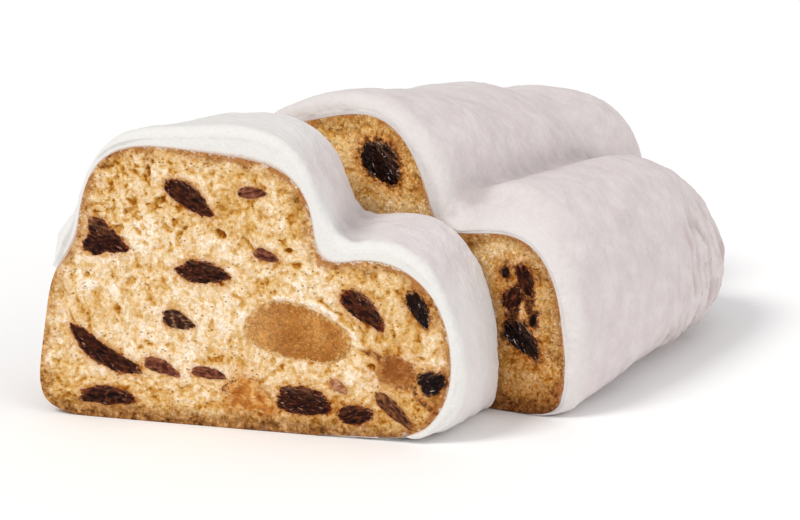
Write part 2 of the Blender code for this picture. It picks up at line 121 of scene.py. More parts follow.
# Pieces in a cut: (x, z, length, width, lean in degrees, bend, three-cornered share, kind)
SLICE_RAISINS = (
    (-13.8, 60.6, 14.6, 5.8, -33, 0.5, 0.06, "dark"),
    (2.9, 62.8, 7.6, 3.0, 2, 0.2, 0.05, "red"),
    (-37.2, 48.1, 11.6, 8.4, -16, 0.0, 0.24, "dark"),
    (-10.4, 41.1, 13.8, 5.9, -7, 0.5, 0.05, "dark"),
    (6.4, 46.7, 6.5, 3.2, -12, 0.2, 0.08, "red"),
    (-17.4, 28.0, 9.6, 4.4, -14, 0.3, 0.10, "crumbed"),
    (-37.8, 17.9, 22.4, 5.6, -31, -2.2, 0.04, "dark"),
    (-22.3, 15.0, 9.6, 3.9, -19, 0.4, 0.08, "red"),
    (-9.2, 14.3, 9.0, 3.2, -6, 0.4, 0.06, "red"),
    (-37.2, 5.9, 16.0, 4.8, 2, 0.6, 0.04, "dark"),
    (31.9, 34.5, 14.0, 6.2, -39, 0.5, 0.07, "dark"),
    (46.6, 35.6, 9.6, 4.6, -64, 0.4, 0.06, "black"),
    (50.0, 16.5, 7.6, 6.2, 28, 0.0, 0.15, "black"),
    (16.4, 8.8, 15.4, 7.6, -7, 0.5, 0.06, "dark"),
    (29.8, 6.4, 9.6, 5.2, 3, -0.5, 0.05, "dark"),
    (39.8, 8.7, 12.6, 4.0, -42, 0.4, 0.05, "brown"),
    (25.4, 13.6, 5.3, 2.6, -26, 0.1, 0.05, "pale"),
)
SLICE_PEEL = (
    (40.6, 18.8, 10.4, 8.2, -12, 0.0, 0.14, "amber"),
    (1.6, 8.9, 12.2, 8.0, -26, 0.6, 0.16, "orange"),
)
SLICE_BACK_RAISINS = (
    (-24.0, 57.0, 12.0, 6.4, 24, 0.4, 0.08, "dark"),
    (8.0, 52.0, 9.4, 5.2, -50, 0.3, 0.08, "dark"),
    (-36.0, 24.0, 13.6, 5.4, -12, -0.6, 0.06, "black"),
    (-9.0, 14.0, 10.4, 5.8, 14, 0.4, 0.12, "red"),
    (39.0, 30.0, 10.8, 6.0, -35, 0.3, 0.08, "dark"),
)
LOAF_RAISINS = (
    (2.5, 62.9, 13.4, 9.6, -48, 0.3, 0.07, "black"),
    (39.3, 37.6, 2.9, 2.1, 70, 0.0, 0.05, "black"),
    (44.9, 36.4, 9.2, 4.4, -68, 0.3, 0.08, "dark"),
    (41.2, 31.0, 7.0, 4.8, 62, 0.2, 0.08, "dark"),
    (44.0, 20.6, 13.0, 6.4, -44, 0.3, 0.10, "black"),
    (47.3, 25.9, 3.8, 2.0, 74, 0.0, 0.05, "black"),
    (-32.0, 46.0, 12.4, 6.2, -30, 0.4, 0.08, "dark"),
    (-36.0, 19.0, 13.0, 5.6, 12, 0.4, 0.06, "black"),
    (-10.0, 31.0, 11.6, 6.0, -18, 0.4, 0.10, "dark"),
    (4.0, 11.0, 12.4, 6.6, 8, -0.4, 0.08, "red"),
)
# Syrup drawn out from the peel towards the crust
SLICE_STREAKS = (
    (45.0, 15.6, 8.0, 1.5, -72, 0.0, 0.0, "amber streak"),
    (48.6, 10.8, 6.6, 1.4, -42, 0.0, 0.0, "amber streak"),
    (35.4, 22.6, 6.0, 1.6, -20, 0.0, 0.0, "amber streak"),
    (-3.6, 11.4, 5.0, 1.8, 30, 0.0, 0.0, "orange streak"),
)
# Dark juice that joins the raisins in the loaf's fold
LOAF_STREAKS = (
    (43.6, 33.4, 9.0, 3.4, 62, 0.3, 0.08, "smear"),
    (41.0, 26.4, 10.0, 2.8, 78, -0.4, 0.06, "smear"),
    (46.4, 30.6, 6.4, 1.5, 80, 0.3, 0.05, "smear"),
)
# the tone column is painted light on the raised ridges and painted shade in the holes and grooves
SLICE_MARKS = (
    # torn ridges of crumb along the marzipan's upper right and towards the peel
    (14.0, 35.4, 15.0, 1.3, -6, 0.50, 0.34),
    (25.6, 31.2, 13.0, 1.4, -38, 0.55, 0.36),
    (28.6, 28.0, 12.0, 1.2, -44, 0.45, 0.30),
    (31.4, 24.4, 8.0, 1.2, -30, 0.40, 0.26),
    (22.8, 34.4, 9.0, 1.0, -28, -0.45, -0.30),
    (30.4, 30.2, 9.0, 0.9, -46, -0.45, -0.32),
    # single holes
    (-21.4, 59.2, 3.4, 2.2, 20, -0.8, -0.45),
    (-5.5, 51.3, 3.2, 2.4, -35, -1.2, -0.75),
    (12.8, 48.4, 2.6, 1.4, 10, -0.9, -0.60),
    (-30.2, 56.0, 4.2, 1.8, 35, -0.7, -0.35),
    (-24.8, 66.6, 3.2, 1.4, 70, -0.6, -0.30),
    (-15.0, 52.6, 2.2, 1.2, 10, -0.6, -0.40),
    (2.0, 49.6, 4.4, 1.2, -50, -0.6, -0.35),
    (34.2, 19.4, 2.4, 1.8, -30, -0.8, -0.60),
    (47.4, 22.6, 2.2, 1.2, -20, -0.6, -0.50),
    (20.0, 20.6, 5.0, 1.0, -20, -0.5, -0.40),
    (-42.0, 38.0, 3.0, 1.6, 60, -0.6, -0.40),
    (-28.0, 66.0, 4.4, 1.4, -20, -0.5, -0.45),
)
# Rounded rises of the pressed sugar: (x, y, z, size, height)
SLICE_LUMPS = (
    (-43.0, 6.0, 46.0, 9.0, 1.6),
    (-33.0, 8.0, 70.0, 10.0, 0.8),
    (-46.0, 4.0, 38.0, 6.0, 1.4),
    (8.0, 24.0, 80.0, 12.0, 0.5),
)
LOAF_LUMPS = (
    (-9.0, 79.0, 68.0, 11.0, 1.5),
    (-9.0, 98.0, 63.0, 8.0, -0.6),
    (12.0, 116.0, 50.0, 13.0, 1.9),
    (38.0, 60.0, 46.0, 14.0, 0.8),
    (30.0, 92.0, 40.0, 10.0, -0.7),
    (56.0, 96.0, 24.0, 8.0, 0.8),
)
SLICE_MARZIPAN = (14.8, 26.8, 28.0, 14.4, -11.0, 0.8)
LOAF_MARZIPAN = (15.6, 27.4, 27.0, 14.6, -8.0, 0.8)

# ------------------------------------------------------------------ sections


def smooth(t):
    t = np.clip(t, 0.0, 1.0)
    return t * t * (3 - 2 * t)


def lobe_field(x, z, lobe):
    cx, cz, w, h, power, tilt = lobe
    ct, st = math.cos(math.radians(tilt)), math.sin(math.radians(tilt))
    u = np.abs((x - cx) * ct + (z - cz) * st) / w
    v = np.abs(-(x - cx) * st + (z - cz) * ct) / h
    return ((u**power + v**power + 1e-12) ** (1 / power) - 1) * min(w, h)


def blend_min(a, b, k):
    m = np.clip(0.5 + 0.5 * (b - a) / k, 0, 1)
    return b * (1 - m) + a * m - k * m * (1 - m)


def lobes_field(x, z, section):
    f = None
    for key in LOBES:
        if key in section:
            g = lobe_field(x, z, section[key])
            f = g if f is None else blend_min(f, g, section["blend"])
    return f


def section_field(x, z, section):
    return -blend_min(-lobes_field(x, z, section), z, section.get("base", BASE_ROUND))


def reach(rays, section, centre):
    low, high = np.zeros_like(rays), np.full_like(rays, 120.0)
    for _ in range(30):
        mid = (low + high) / 2
        inside = section_field(centre + mid * np.cos(rays), mid * np.sin(rays), section) < 0
        low, high = np.where(inside, mid, low), np.where(inside, high, mid)
    return (low + high) / 2


def base_reach(section, centre, way):
    low, high = 0.0, 120.0
    limit = -section.get("base", BASE_ROUND)
    for _ in range(30):
        mid = (low + high) / 2
        if lobes_field(np.array([centre + way * mid]), np.array([0.0]), section)[0] < limit:
            low = mid
        else:
            high = mid
    return centre + way * (low + high) / 2


def between(a, b, s):
    out = {k: tuple(np.array(a[k]) * (1 - s) + np.array(b[k]) * s) for k in LOBES}
    out["blend"] = a["blend"] * (1 - s) + b["blend"] * s
    return out


def round_off(t, key, short):
    start = LOAF_END[key] - short - LOAF_ROUND[key]
    tau = min(max((t - start) / LOAF_ROUND[key], 0.0), 0.99999)
    power = LOAF_ROUND_POWER[key]
    return (1 - tau**power) ** (1 / power)


def loaf_section(t, full, short=0.0):
    round_base = BASE_ROUND + BASE_GROWS * float(smooth(t / BASE_GROWS_OVER))
    out = {"blend": full["blend"], "base": round_base}
    for key in LOBES:
        cx, cz, w, h, power, tilt = full[key]
        q = round_off(t, key, short)
        if q < 0.12:
            continue
        if key == "hump":
            cz -= HUMP_FALL * min(t, 110.0) - 1.2 * math.sin(t / 17.0) * smooth(t / 10)
            cz += HUMP_SWELL * math.exp(-(((t - HUMP_SWELL_AT) / HUMP_SWELL_LEN) ** 2))
            tilt *= 1 - 0.5 * smooth(t / 50)
            cx += 4.0 * smooth(t / 40)
        if key == "side":
            swell = 0.5 * (SIDE_SWELL * smooth(t / SIDE_SWELL_LEN) - SIDE_FALL * t)
            cz += swell
            h += swell
            w += 1.0 * smooth(t / 40)
            cx += 2.0 * smooth(t / 40) - 13.0 * (1 - q) ** 2
        if key == "body":
            out["base"] = round_base * q**2
        out[key] = (cx, cz * q**0.7, w * q, h * q, power, tilt)
    return out


def loaf_centre(t):
    return CENTRE_X + (-12.0 - CENTRE_X) * smooth((t - 90.0) / 50.0)


def last_row(short=0.0):
    power = LOAF_ROUND_POWER["body"]
    tau = (1 - LAST_ROUND**power) ** (1 / power)
    return LOAF_END["body"] - short - LOAF_ROUND["body"] * (1 - tau)


def slice_to_row(p):
    return (p - np.array([MIDDLE[0], MIDDLE[1], 0.0])) * MM


def loaf_to_row(p):
    a = math.radians(LOAF_YAW)
    s = p[:, 0] - LOAF_BASE_X
    x = LOAF_PIVOT[0] + s * math.cos(a) - p[:, 1] * math.sin(a)
    y = LOAF_PIVOT[1] + s * math.sin(a) + p[:, 1] * math.cos(a)
    return slice_to_row(np.stack([x, y, p[:, 2]], -1))


# ------------------------------------------------------------------ noise

_rng = np.random.default_rng(11)
_PERM = np.tile(_rng.permutation(256), 2)
_GRAD = _rng.normal(size=(256, 3))
_GRAD /= np.linalg.norm(_GRAD, axis=1)[:, None]
_RAND = _rng.uniform(size=(256, 8))


def _hash(ix, iy, iz):
    return _PERM[_PERM[_PERM[ix & 255] + (iy & 255)] + (iz & 255)]


def noise(p, size, seed=0):
    """Gradient noise, about -0.7 to 0.7; size is the feature length, one number or three."""
    q = np.asarray(p, float) / np.asarray(size, float) + np.array([13.7, 7.3, 3.1]) * (seed + 1)
    i = np.floor(q).astype(np.int64)
    f = q - i
    u = f * f * f * (f * (f * 6 - 15) + 10)
    out = 0.0
    for dx in (0, 1):
        wx = u[:, 0] if dx else 1 - u[:, 0]
        for dy in (0, 1):
            wy = u[:, 1] if dy else 1 - u[:, 1]
            for dz in (0, 1):
                wz = u[:, 2] if dz else 1 - u[:, 2]
                g = _GRAD[_hash(i[:, 0] + dx, i[:, 1] + dy, i[:, 2] + dz)]
                d = f - np.array([dx, dy, dz])
                out = out + wx * wy * wz * (g * d).sum(-1)
    return out * 1.4


def fbm(p, size, octaves=3, seed=0, gain=0.5):
    out, amp, total = 0.0, 1.0, 0.0
    for k in range(octaves):
        out = out + amp * noise(p, np.asarray(size, float) / 2**k, seed + 5 * k)
        total += amp
        amp *= gain
    return out / total


def ridged(p, size, octaves=2, seed=0):
    out, amp, total = 0.0, 1.0, 0.0
    for k in range(octaves):
        out = out + amp * (1 - np.abs(noise(p, np.asarray(size, float) / 2**k, seed + 7 * k)) * 2.2)
        total += amp
        amp *= 0.55
    return np.clip(out / total, 0, 1)


def pores(x, z, cell, chance, least, most, seed, stretch=1.6):
    """Round or drawn-out bubbles in the cut: 0 outside, 1 at a bubble's middle."""
    ix, iz = np.floor(x / cell).astype(np.int64), np.floor(z / cell).astype(np.int64)
    best = np.zeros_like(x)
    for dx in (-1, 0, 1):
        for dz in (-1, 0, 1):
            cx, cz = ix + dx, iz + dz
            h = _RAND[_hash(cx, cz, np.full_like(cx, seed))]
            radius = cell * (least + (most - least) * h[:, 0] ** 1.5)
            radius = np.where(h[:, 1] < chance, radius, 1e-6)
            px = (cx + 0.15 + 0.7 * h[:, 2]) * cell
            pz = (cz + 0.15 + 0.7 * h[:, 3]) * cell
            a = (h[:, 4] - 0.5) * 2.2
            k = 1 + (stretch - 1) * h[:, 5]
            u = ((x - px) * np.cos(a) + (z - pz) * np.sin(a)) / (radius * k)
            v = (-(x - px) * np.sin(a) + (z - pz) * np.cos(a)) / (radius / k)
            best = np.maximum(best, (1 - (u * u + v * v)) * (0.6 + 0.4 * h[:, 6]))
    return best


# ------------------------------------------------------------------ mesh helpers


def add_piece(name, points, faces, nodes, materials, to_row, attributes=None, smooth_shade=True, material_index=None):
    """Makes a mesh piece in the row frame, riding on the one body, for the named solids."""
    mesh = bpy.data.meshes.new(name)
    points = to_row(np.asarray(points, float))
    mesh.vertices.add(len(points))
    mesh.vertices.foreach_set("co", points.astype(np.float32).ravel())
    sizes = np.array([len(f) for f in faces], np.int32)
    corners = np.concatenate([np.asarray(f, np.int32) for f in faces]) if not isinstance(faces, np.ndarray) else faces.astype(np.int32).ravel()
    mesh.loops.add(len(corners))
    mesh.loops.foreach_set("vertex_index", corners)
    mesh.polygons.add(len(sizes))
    mesh.polygons.foreach_set("loop_start", np.concatenate([[0], np.cumsum(sizes)[:-1]]).astype(np.int32))
    mesh.polygons.foreach_set("loop_total", sizes)
    mesh.update(calc_edges=True)
    mesh.validate()
    for key, values in (attributes or {}).items():
        attribute = mesh.attributes.new(key, "FLOAT", "POINT")
        attribute.data.foreach_set("value", np.asarray(values, np.float32))
    for made in materials:
        mesh.materials.append(made)
    if material_index is not None:
        mesh.polygons.foreach_set("material_index", np.asarray(material_index, np.int32))
    if smooth_shade:
        mesh.shade_smooth()
    obj = bpy.data.objects.new(name, mesh)
    bpy.context.scene.collection.objects.link(obj)
    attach(obj, "root")
    if nodes:
        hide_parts(*nodes)
    return obj


def grid_quads(rows, columns, first=0, flip=False):
    j, i = np.meshgrid(np.arange(rows - 1), np.arange(columns - 1), indexing="ij")
    a = first + j * columns + i
    quads = np.stack([a, a + columns, a + columns + 1, a + 1], -1).reshape(-1, 4)
    return quads[:, ::-1] if flip else quads


def normals_of(points, quads, extra=None):
    """Vertex normals from quads and triangles."""
    normal = np.zeros_like(points)
    for faces in (quads, extra):
        if faces is None or not len(faces):
            continue
        faces = np.asarray(faces)
        a, b, c = points[faces[:, 0]], points[faces[:, 1]], points[faces[:, 2]]
        d = points[faces[:, -1]]
        n = np.cross(c - a, d - b) if faces.shape[1] == 4 else np.cross(b - a, c - a)
        for k in range(faces.shape[1]):
            for axis in range(3):
                normal[:, axis] += np.bincount(faces[:, k], n[:, axis], len(points))
    return normal / (np.linalg.norm(normal, axis=1)[:, None] + 1e-12)


def zip_lines(a, b, pa, pb):
    """Triangles between two lines of point numbers a and b that run the same way."""
    out, i, j = [], 0, 0
    la = np.concatenate([[0], np.cumsum(np.linalg.norm(np.diff(pa, axis=0), axis=1))])
    lb = np.concatenate([[0], np.cumsum(np.linalg.norm(np.diff(pb, axis=0), axis=1))])
    la, lb = la / la[-1], lb / lb[-1]
    while i < len(a) - 1 or j < len(b) - 1:
        if j == len(b) - 1 or (i < len(a) - 1 and la[i + 1] <= lb[j + 1]):
            out.append((a[i], a[i + 1], b[j]))
            i += 1
        else:
            out.append((a[i], b[j + 1], b[j]))
            j += 1
    return out


# ------------------------------------------------------------------ pips: their outlines in the cut


def pip_outline(entry, grow, number, count=96):
    """The outline of a raisin or of peel in the cut, as points (x, z)."""
    x0, z0, length, width, lean, bend, corner = entry[:7]
    a = np.linspace(0, 2 * np.pi, count, endpoint=False)
    turn = 1.7 * number
    ragged = noise(np.stack([np.cos(a) * 1.6, np.sin(a) * 1.6, 0 * a + number], -1), 1.0, 3)
    ragged += 0.65 * noise(np.stack([np.cos(a) * 3.4, np.sin(a) * 3.4, 0 * a + number], -1), 1.0, 4)
    ragged += 0.45 * noise(np.stack([np.cos(a) * 7.0, np.sin(a) * 7.0, 0 * a + number], -1), 1.0, 5)
    ragged += 0.42 * noise(np.stack([np.cos(a) * 14.0, np.sin(a) * 14.0, 0 * a + number], -1), 1.0, 6)
    dent = 1 + corner * np.cos(3 * a) + 0.04 * np.sin(2 * a + turn) + 0.15 * ragged
    if entry[7] == "amber":  # a squarish dice
        dent = 0.94 + 0.15 * ragged + 0.9 * ((np.cos(a) ** 4 + np.sin(a) ** 4) ** -0.25 - 1)
    x = (length / 2 + grow) * dent * np.cos(a)
    z = (width / 2 + grow) * dent * np.sin(a) * (1 - 0.16 * np.cos(a) ** 4)
    z = z + bend * (0.4 - (x / (length / 2)) ** 2)
    ct, st = math.cos(math.radians(lean)), math.sin(math.radians(lean))
    return np.stack([x0 + x * ct - z * st, z0 + x * st + z * ct], -1)


def marzipan_outline(size, grow, count=110, seed=0):
    x0, z0, width, height, lean, bend = size
    a = np.linspace(0, 2 * np.pi, count, endpoint=False)
    c, s = np.cos(a), np.sin(a)
    k = (np.abs(c) ** 2.3 + np.abs(s) ** 2.3) ** (-1 / 2.3)
    ragged = 1 + 0.06 * noise(np.stack([c * 2.2, s * 2.2, 0 * a + seed], -1), 1.0, 8)
    ragged += 0.045 * noise(np.stack([c * 6, s * 6, 0 * a + seed], -1), 1.0, 9)
    ragged += 0.03 * noise(np.stack([c * 12, s * 12, 0 * a + seed], -1), 1.0, 10)
    x = (width / 2 + grow) * k * c * (1 + 0.04 * np.sin(2 * a)) * ragged
    z = (height / 2 + grow) * k * s * (1 + 0.06 * np.cos(3 * a)) * ragged
    z = z + bend * (0.4 - (2 * x / width) ** 2)
    ct, st = math.cos(math.radians(lean)), math.sin(math.radians(lean))
    return np.stack([x0 + x * ct - z * st, z0 + x * st + z * ct], -1)


def inside_polygon(p, polygon):
    """Which points are inside the closed polygon."""
    low, high = polygon.min(0) - 1e-6, polygon.max(0) + 1e-6
    near = np.all((p >= low) & (p <= high), axis=1)
    out = np.zeros(len(p), bool)
    q = p[near]
    if not len(q):
        return out
    a, b = polygon, np.roll(polygon, -1, axis=0)
    cross = (a[None, :, 1] > q[:, None, 1]) != (b[None, :, 1] > q[:, None, 1])
    slope = (b[:, 0] - a[:, 0]) / (b[:, 1] - a[:, 1] + 1e-12)
    at = a[None, :, 0] + (q[:, None, 1] - a[None, :, 1]) * slope[None, :]
    out[near] = ((cross & (q[:, None, 0] < at)).sum(1) % 2).astype(bool)
    return out


def distance_to(p, loop, closed=True, most=12.0):
    """Distance from each point to a line of points, no more than most."""
    dense = resample(loop, 0.12)
    tree = KDTree(len(dense))
    for i, (x, z) in enumerate(dense.tolist()):
        tree.insert((x, z, 0.0), i)
    tree.balance()
    near = np.all((p >= loop.min(0) - most) & (p <= loop.max(0) + most), axis=1)
    out = np.full(len(p), float(most))
    find = tree.find
    out[near] = [find((x, z, 0.0))[2] for x, z in p[near].tolist()]
    return np.minimum(out, most)


def resample(loop, spacing):
    """The closed line again, with evenly spaced points."""
    closed = np.vstack([loop, loop[:1]])
    step = np.linalg.norm(np.diff(closed, axis=0), axis=1)
    along = np.concatenate([[0], np.cumsum(step)])
    count = int(round(along[-1] / spacing))
    at = np.linspace(0, along[-1], count, endpoint=False)
    return np.stack([np.interp(at, along, closed[:, k]) for k in range(closed.shape[1])], -1)


# ------------------------------------------------------------------ crumb


def crumb_relief(x, z, edge, seed, hollow):
    """Height out of the cut in mm, and a tone from 0 in the pores to 1 on the cut ridges: the crumb's own random grain,
    with painted shade darkening the pores.

    edge is the distance to the crust; hollow is more open where it is 1."""
    p = np.stack([x, z, np.full_like(x, 3.0 * seed)], -1)
    wx = x + 1.3 * noise(p, 5.0, 25) + 0.7 * noise(p, 1.9, 21) + 0.30 * noise(p, 0.9, 22)
    wz = z + 1.0 * noise(p, 5.0, 26) + 0.6 * noise(p, 1.9, 23) + 0.25 * noise(p, 0.9, 24)
    core = smooth((edge - 1.0) / 4.0)
    low = smooth((38.0 - z) / 26.0)
    squeeze = 1.0 + 0.45 * low
    w = np.stack([wx, wz * squeeze, np.full_like(x, 3.0 * seed)], -1)
    big = np.clip(pores(wx, wz * squeeze, 6.0, 0.26, 0.10, 0.27, 31 + seed, 1.7), 0, 1) * core
    some = smooth((noise(w, 2.3, 63) - 0.15) / 0.25) * (0.5 + 0.5 * core)
    many = smooth((noise(w, 1.15, 64) - 0.13) / 0.16)
    soft = fbm(p, 11.0, 2, 61)
    clump = fbm(w, 3.4, 3, 62, 0.6)
    grain = noise(p, 0.8, 66)
    open_up = 0.8 + 0.45 * hollow
    height = (0.45 * soft + 0.26 * clump + 0.12 * grain) * (0.5 + 0.5 * core)
    height = height - open_up * (0.60 * big**0.8 + 0.17 * some + 0.12 * many)
    tone = 0.36 * clump + 0.15 * grain + 0.22 * soft
    # painted shade: the pores are darkened
    tone = tone - open_up * (0.34 * big**0.7 + 0.24 * some + 0.17 * many)
    least, most = np.percentile(tone, (5, 95))
    tone = 0.335 + 0.54 * (tone - least) / (most - least)
    return height, tone


def crumb_marks(x, z, height, tone, marks):
    """Torn ridges and single holes: (x, z, length, width, lean, height, tone). The tone follows the height, as painted
    light on raised ridges and painted shade in sunk grooves and holes.
    """
    p = np.stack([x, z, np.zeros_like(x)], -1)
    wx, wz = x + 0.7 * noise(p, 2.2, 27), z + 0.6 * noise(p, 2.2, 28)
    for mx, mz, length, width, lean, lift, tint in marks:
        c, s = math.cos(math.radians(lean)), math.sin(math.radians(lean))
        u = ((wx - mx) * c + (wz - mz) * s) / (length / 2)
        v = (-(wx - mx) * s + (wz - mz) * c) / (width / 2)
        share = smooth((1.25 - (u * u + v * v)) / 0.9)
        height = height + lift * share
        tone = tone + tint * share
    return height, tone


def cut_face(section, loop, spacing, pockets, seed, hollow_at, shade_at=None, marks=()):
    """A cut through the bread: points (x, z), triangles, height, and what the material reads.

    pockets are (outline function, depth) pairs, where a raisin, peel or marzipan sits."""
    rng = np.random.default_rng(100 + seed)
    low, high = loop.min(0), loop.max(0)
    rows = np.arange(low[1], high[1] + spacing, spacing * 0.866)
    columns = np.arange(low[0], high[0] + spacing, spacing)
    gx, gz = np.meshgrid(columns, rows)
    gx = gx + 0.5 * spacing * (np.arange(len(rows)) % 2)[:, None]
    grid = np.stack([gx, gz], -1).reshape(-1, 2)
    grid += rng.uniform(-0.16, 0.16, grid.shape) * spacing
    near = section_field(grid[:, 0], grid[:, 1], section) < -0.3 * spacing
    grid = grid[near & (grid[:, 1] > 0.45 * spacing)]
    edge = distance_to(grid, loop)
    grid = grid[(edge > 0.6 * spacing)]
    loops, edges, points = [loop], [], [loop]
    count = len(loop)
    edges += [(i, (i + 1) % count) for i in range(count)]
    keep = np.ones(len(grid), bool)
    for outline, depth in pockets:
        for grow in (0.1, -0.45):
            ring = resample(outline(grow), spacing * 1.05)
            ring = ring[ring[:, 1] > 0.3]
            points.append(ring)
            edges += [(count + i, count + (i + 1) % len(ring)) for i in range(len(ring))]
            count += len(ring)
            keep &= distance_to(grid, ring, most=50.0) > 0.42 * spacing
    points.append(grid[keep])
    flat = np.vstack(points)
    made = delaunay_2d_cdt([Vector(p) for p in flat], edges, [], 1, 1e-5, False)
    flat = np.array([v[:] for v in made[0]], float)
    triangles = np.array([f for f in made[2] if len(f) == 3], np.int64)
    long = np.ptp(flat[triangles], axis=1).max(1) > 2.0 * spacing
    middles = flat[triangles[long]].mean(1)
    drop = np.zeros(len(triangles), bool)
    drop[long] = ~inside_polygon(middles, loop)
    triangles = triangles[~drop]
    a, b, c = flat[triangles[:, 0]], flat[triangles[:, 1]], flat[triangles[:, 2]]
    area = (b[:, 0] - a[:, 0]) * (c[:, 1] - a[:, 1]) - (b[:, 1] - a[:, 1]) * (c[:, 0] - a[:, 0])
    triangles[area < 0] = triangles[area < 0][:, ::-1]
    x, z = flat[:, 0], flat[:, 1]
    edge = distance_to(flat, loop)
    height, tone = crumb_relief(x, z, edge, seed, hollow_at(x, z))
    if shade_at is not None:
        tone = tone + shade_at(x, z)
    height, tone = crumb_marks(x, z, height, tone, marks)
    height = height * smooth(edge / 0.9)
    pocket = np.zeros(len(flat))
    stain = np.zeros(len(flat))
    for outline, depth in pockets:
        ring = outline(-0.3)
        deep = inside_polygon(flat, ring)
        pocket = np.where(deep, np.maximum(pocket, depth), pocket)
        near = distance_to(flat, outline(0.1), most=2.0)
        near = np.where(inside_polygon(flat, outline(0.1)), 0.0, near)
        calm = smooth((near + 0.05) / 1.1)
        height = np.where(deep, height, height * calm - 0.10 * (1 - calm))
    height = np.where(pocket > 0, -pocket, height)
    return flat, triangles, height, tone, edge, stain, pocket


def outline_of(section, centre, spacing, fine=900):
    """The closed outline of a section, from the right base corner over the top, evenly spaced,
    with the ray of each point (rays run to 180 degrees, then the base from 180 to 360)."""
    rays = np.radians(np.linspace(0.25, 179.75, fine))
    r = reach(rays, section, centre)
    arch = np.stack([centre + r * np.cos(rays), r * np.sin(rays)], -1)
    right, left = base_reach(section, centre, 1), base_reach(section, centre, -1)
    share = np.linspace(0, 1, 240)
    base = np.stack([left + (right - left) * share, 0 * share], -1)
    loop = np.vstack([arch, base, arch[:1]])
    code = np.concatenate([np.degrees(rays), 180 + 180 * share, [360.0]])
    along = np.concatenate([[0], np.cumsum(np.linalg.norm(np.diff(loop, axis=0), axis=1))])
    at = np.linspace(0, along[-1], int(round(along[-1] / spacing)), endpoint=False)
    return np.stack([np.interp(at, along, loop[:, k]) for k in (0, 1)], -1), np.interp(at, along, code)


def section_points(section, centre, code):
    """Points of another section that match the codes of outline_of."""
    out = np.zeros((len(code), 2))
    arch = code < 180
    rays = np.radians(np.clip(code[arch], 0.25, 179.75))
    r = reach(rays, section, centre)
    out[arch] = np.stack([centre + r * np.cos(rays), r * np.sin(rays)], -1)
    right, left = base_reach(section, centre, 1), base_reach(section, centre, -1)
    share = (code[~arch] - 180) / 180
    out[~arch] = np.stack([left + (right - left) * share, 0 * share], -1)
    return out


def face_loop_index(flat, loop):
    """Where each point of the loop went among the triangulated points."""
    tree = KDTree(len(flat))
    for i, (x, z) in enumerate(flat.tolist()):
        tree.insert((x, z, 0.0), i)
    tree.balance()
    return np.array([tree.find((x, z, 0.0))[1] for x, z in loop.tolist()], np.int64)


def crust_relief(p, seed):
    return 0.35 * fbm(p, 6.0, 3, 71 + seed) + 0.12 * noise(p, 1.2, 75 + seed)


def stain_from(points2, sources):
    """Syrup soaked into the crumb: (outline, reach in mm, strength)."""
    out = np.zeros(len(points2))
    for outline, length, strength in sources:
        near = distance_to(points2, outline, most=length * 2)
        near = np.where(inside_polygon(points2, outline), 0.0, near)
        out = np.maximum(out, strength * np.exp(-((near / length) ** 1.3)))
    return out


def covered_at(points):
    """1 where the sugar lies on the crust of a cut, 0 where the crust is bare."""
    ray = np.degrees(np.arctan2(points[:, 2], points[:, 0] - CENTRE_X))
    return smooth((COAT_LEFT + 2 - ray) / 6.0)


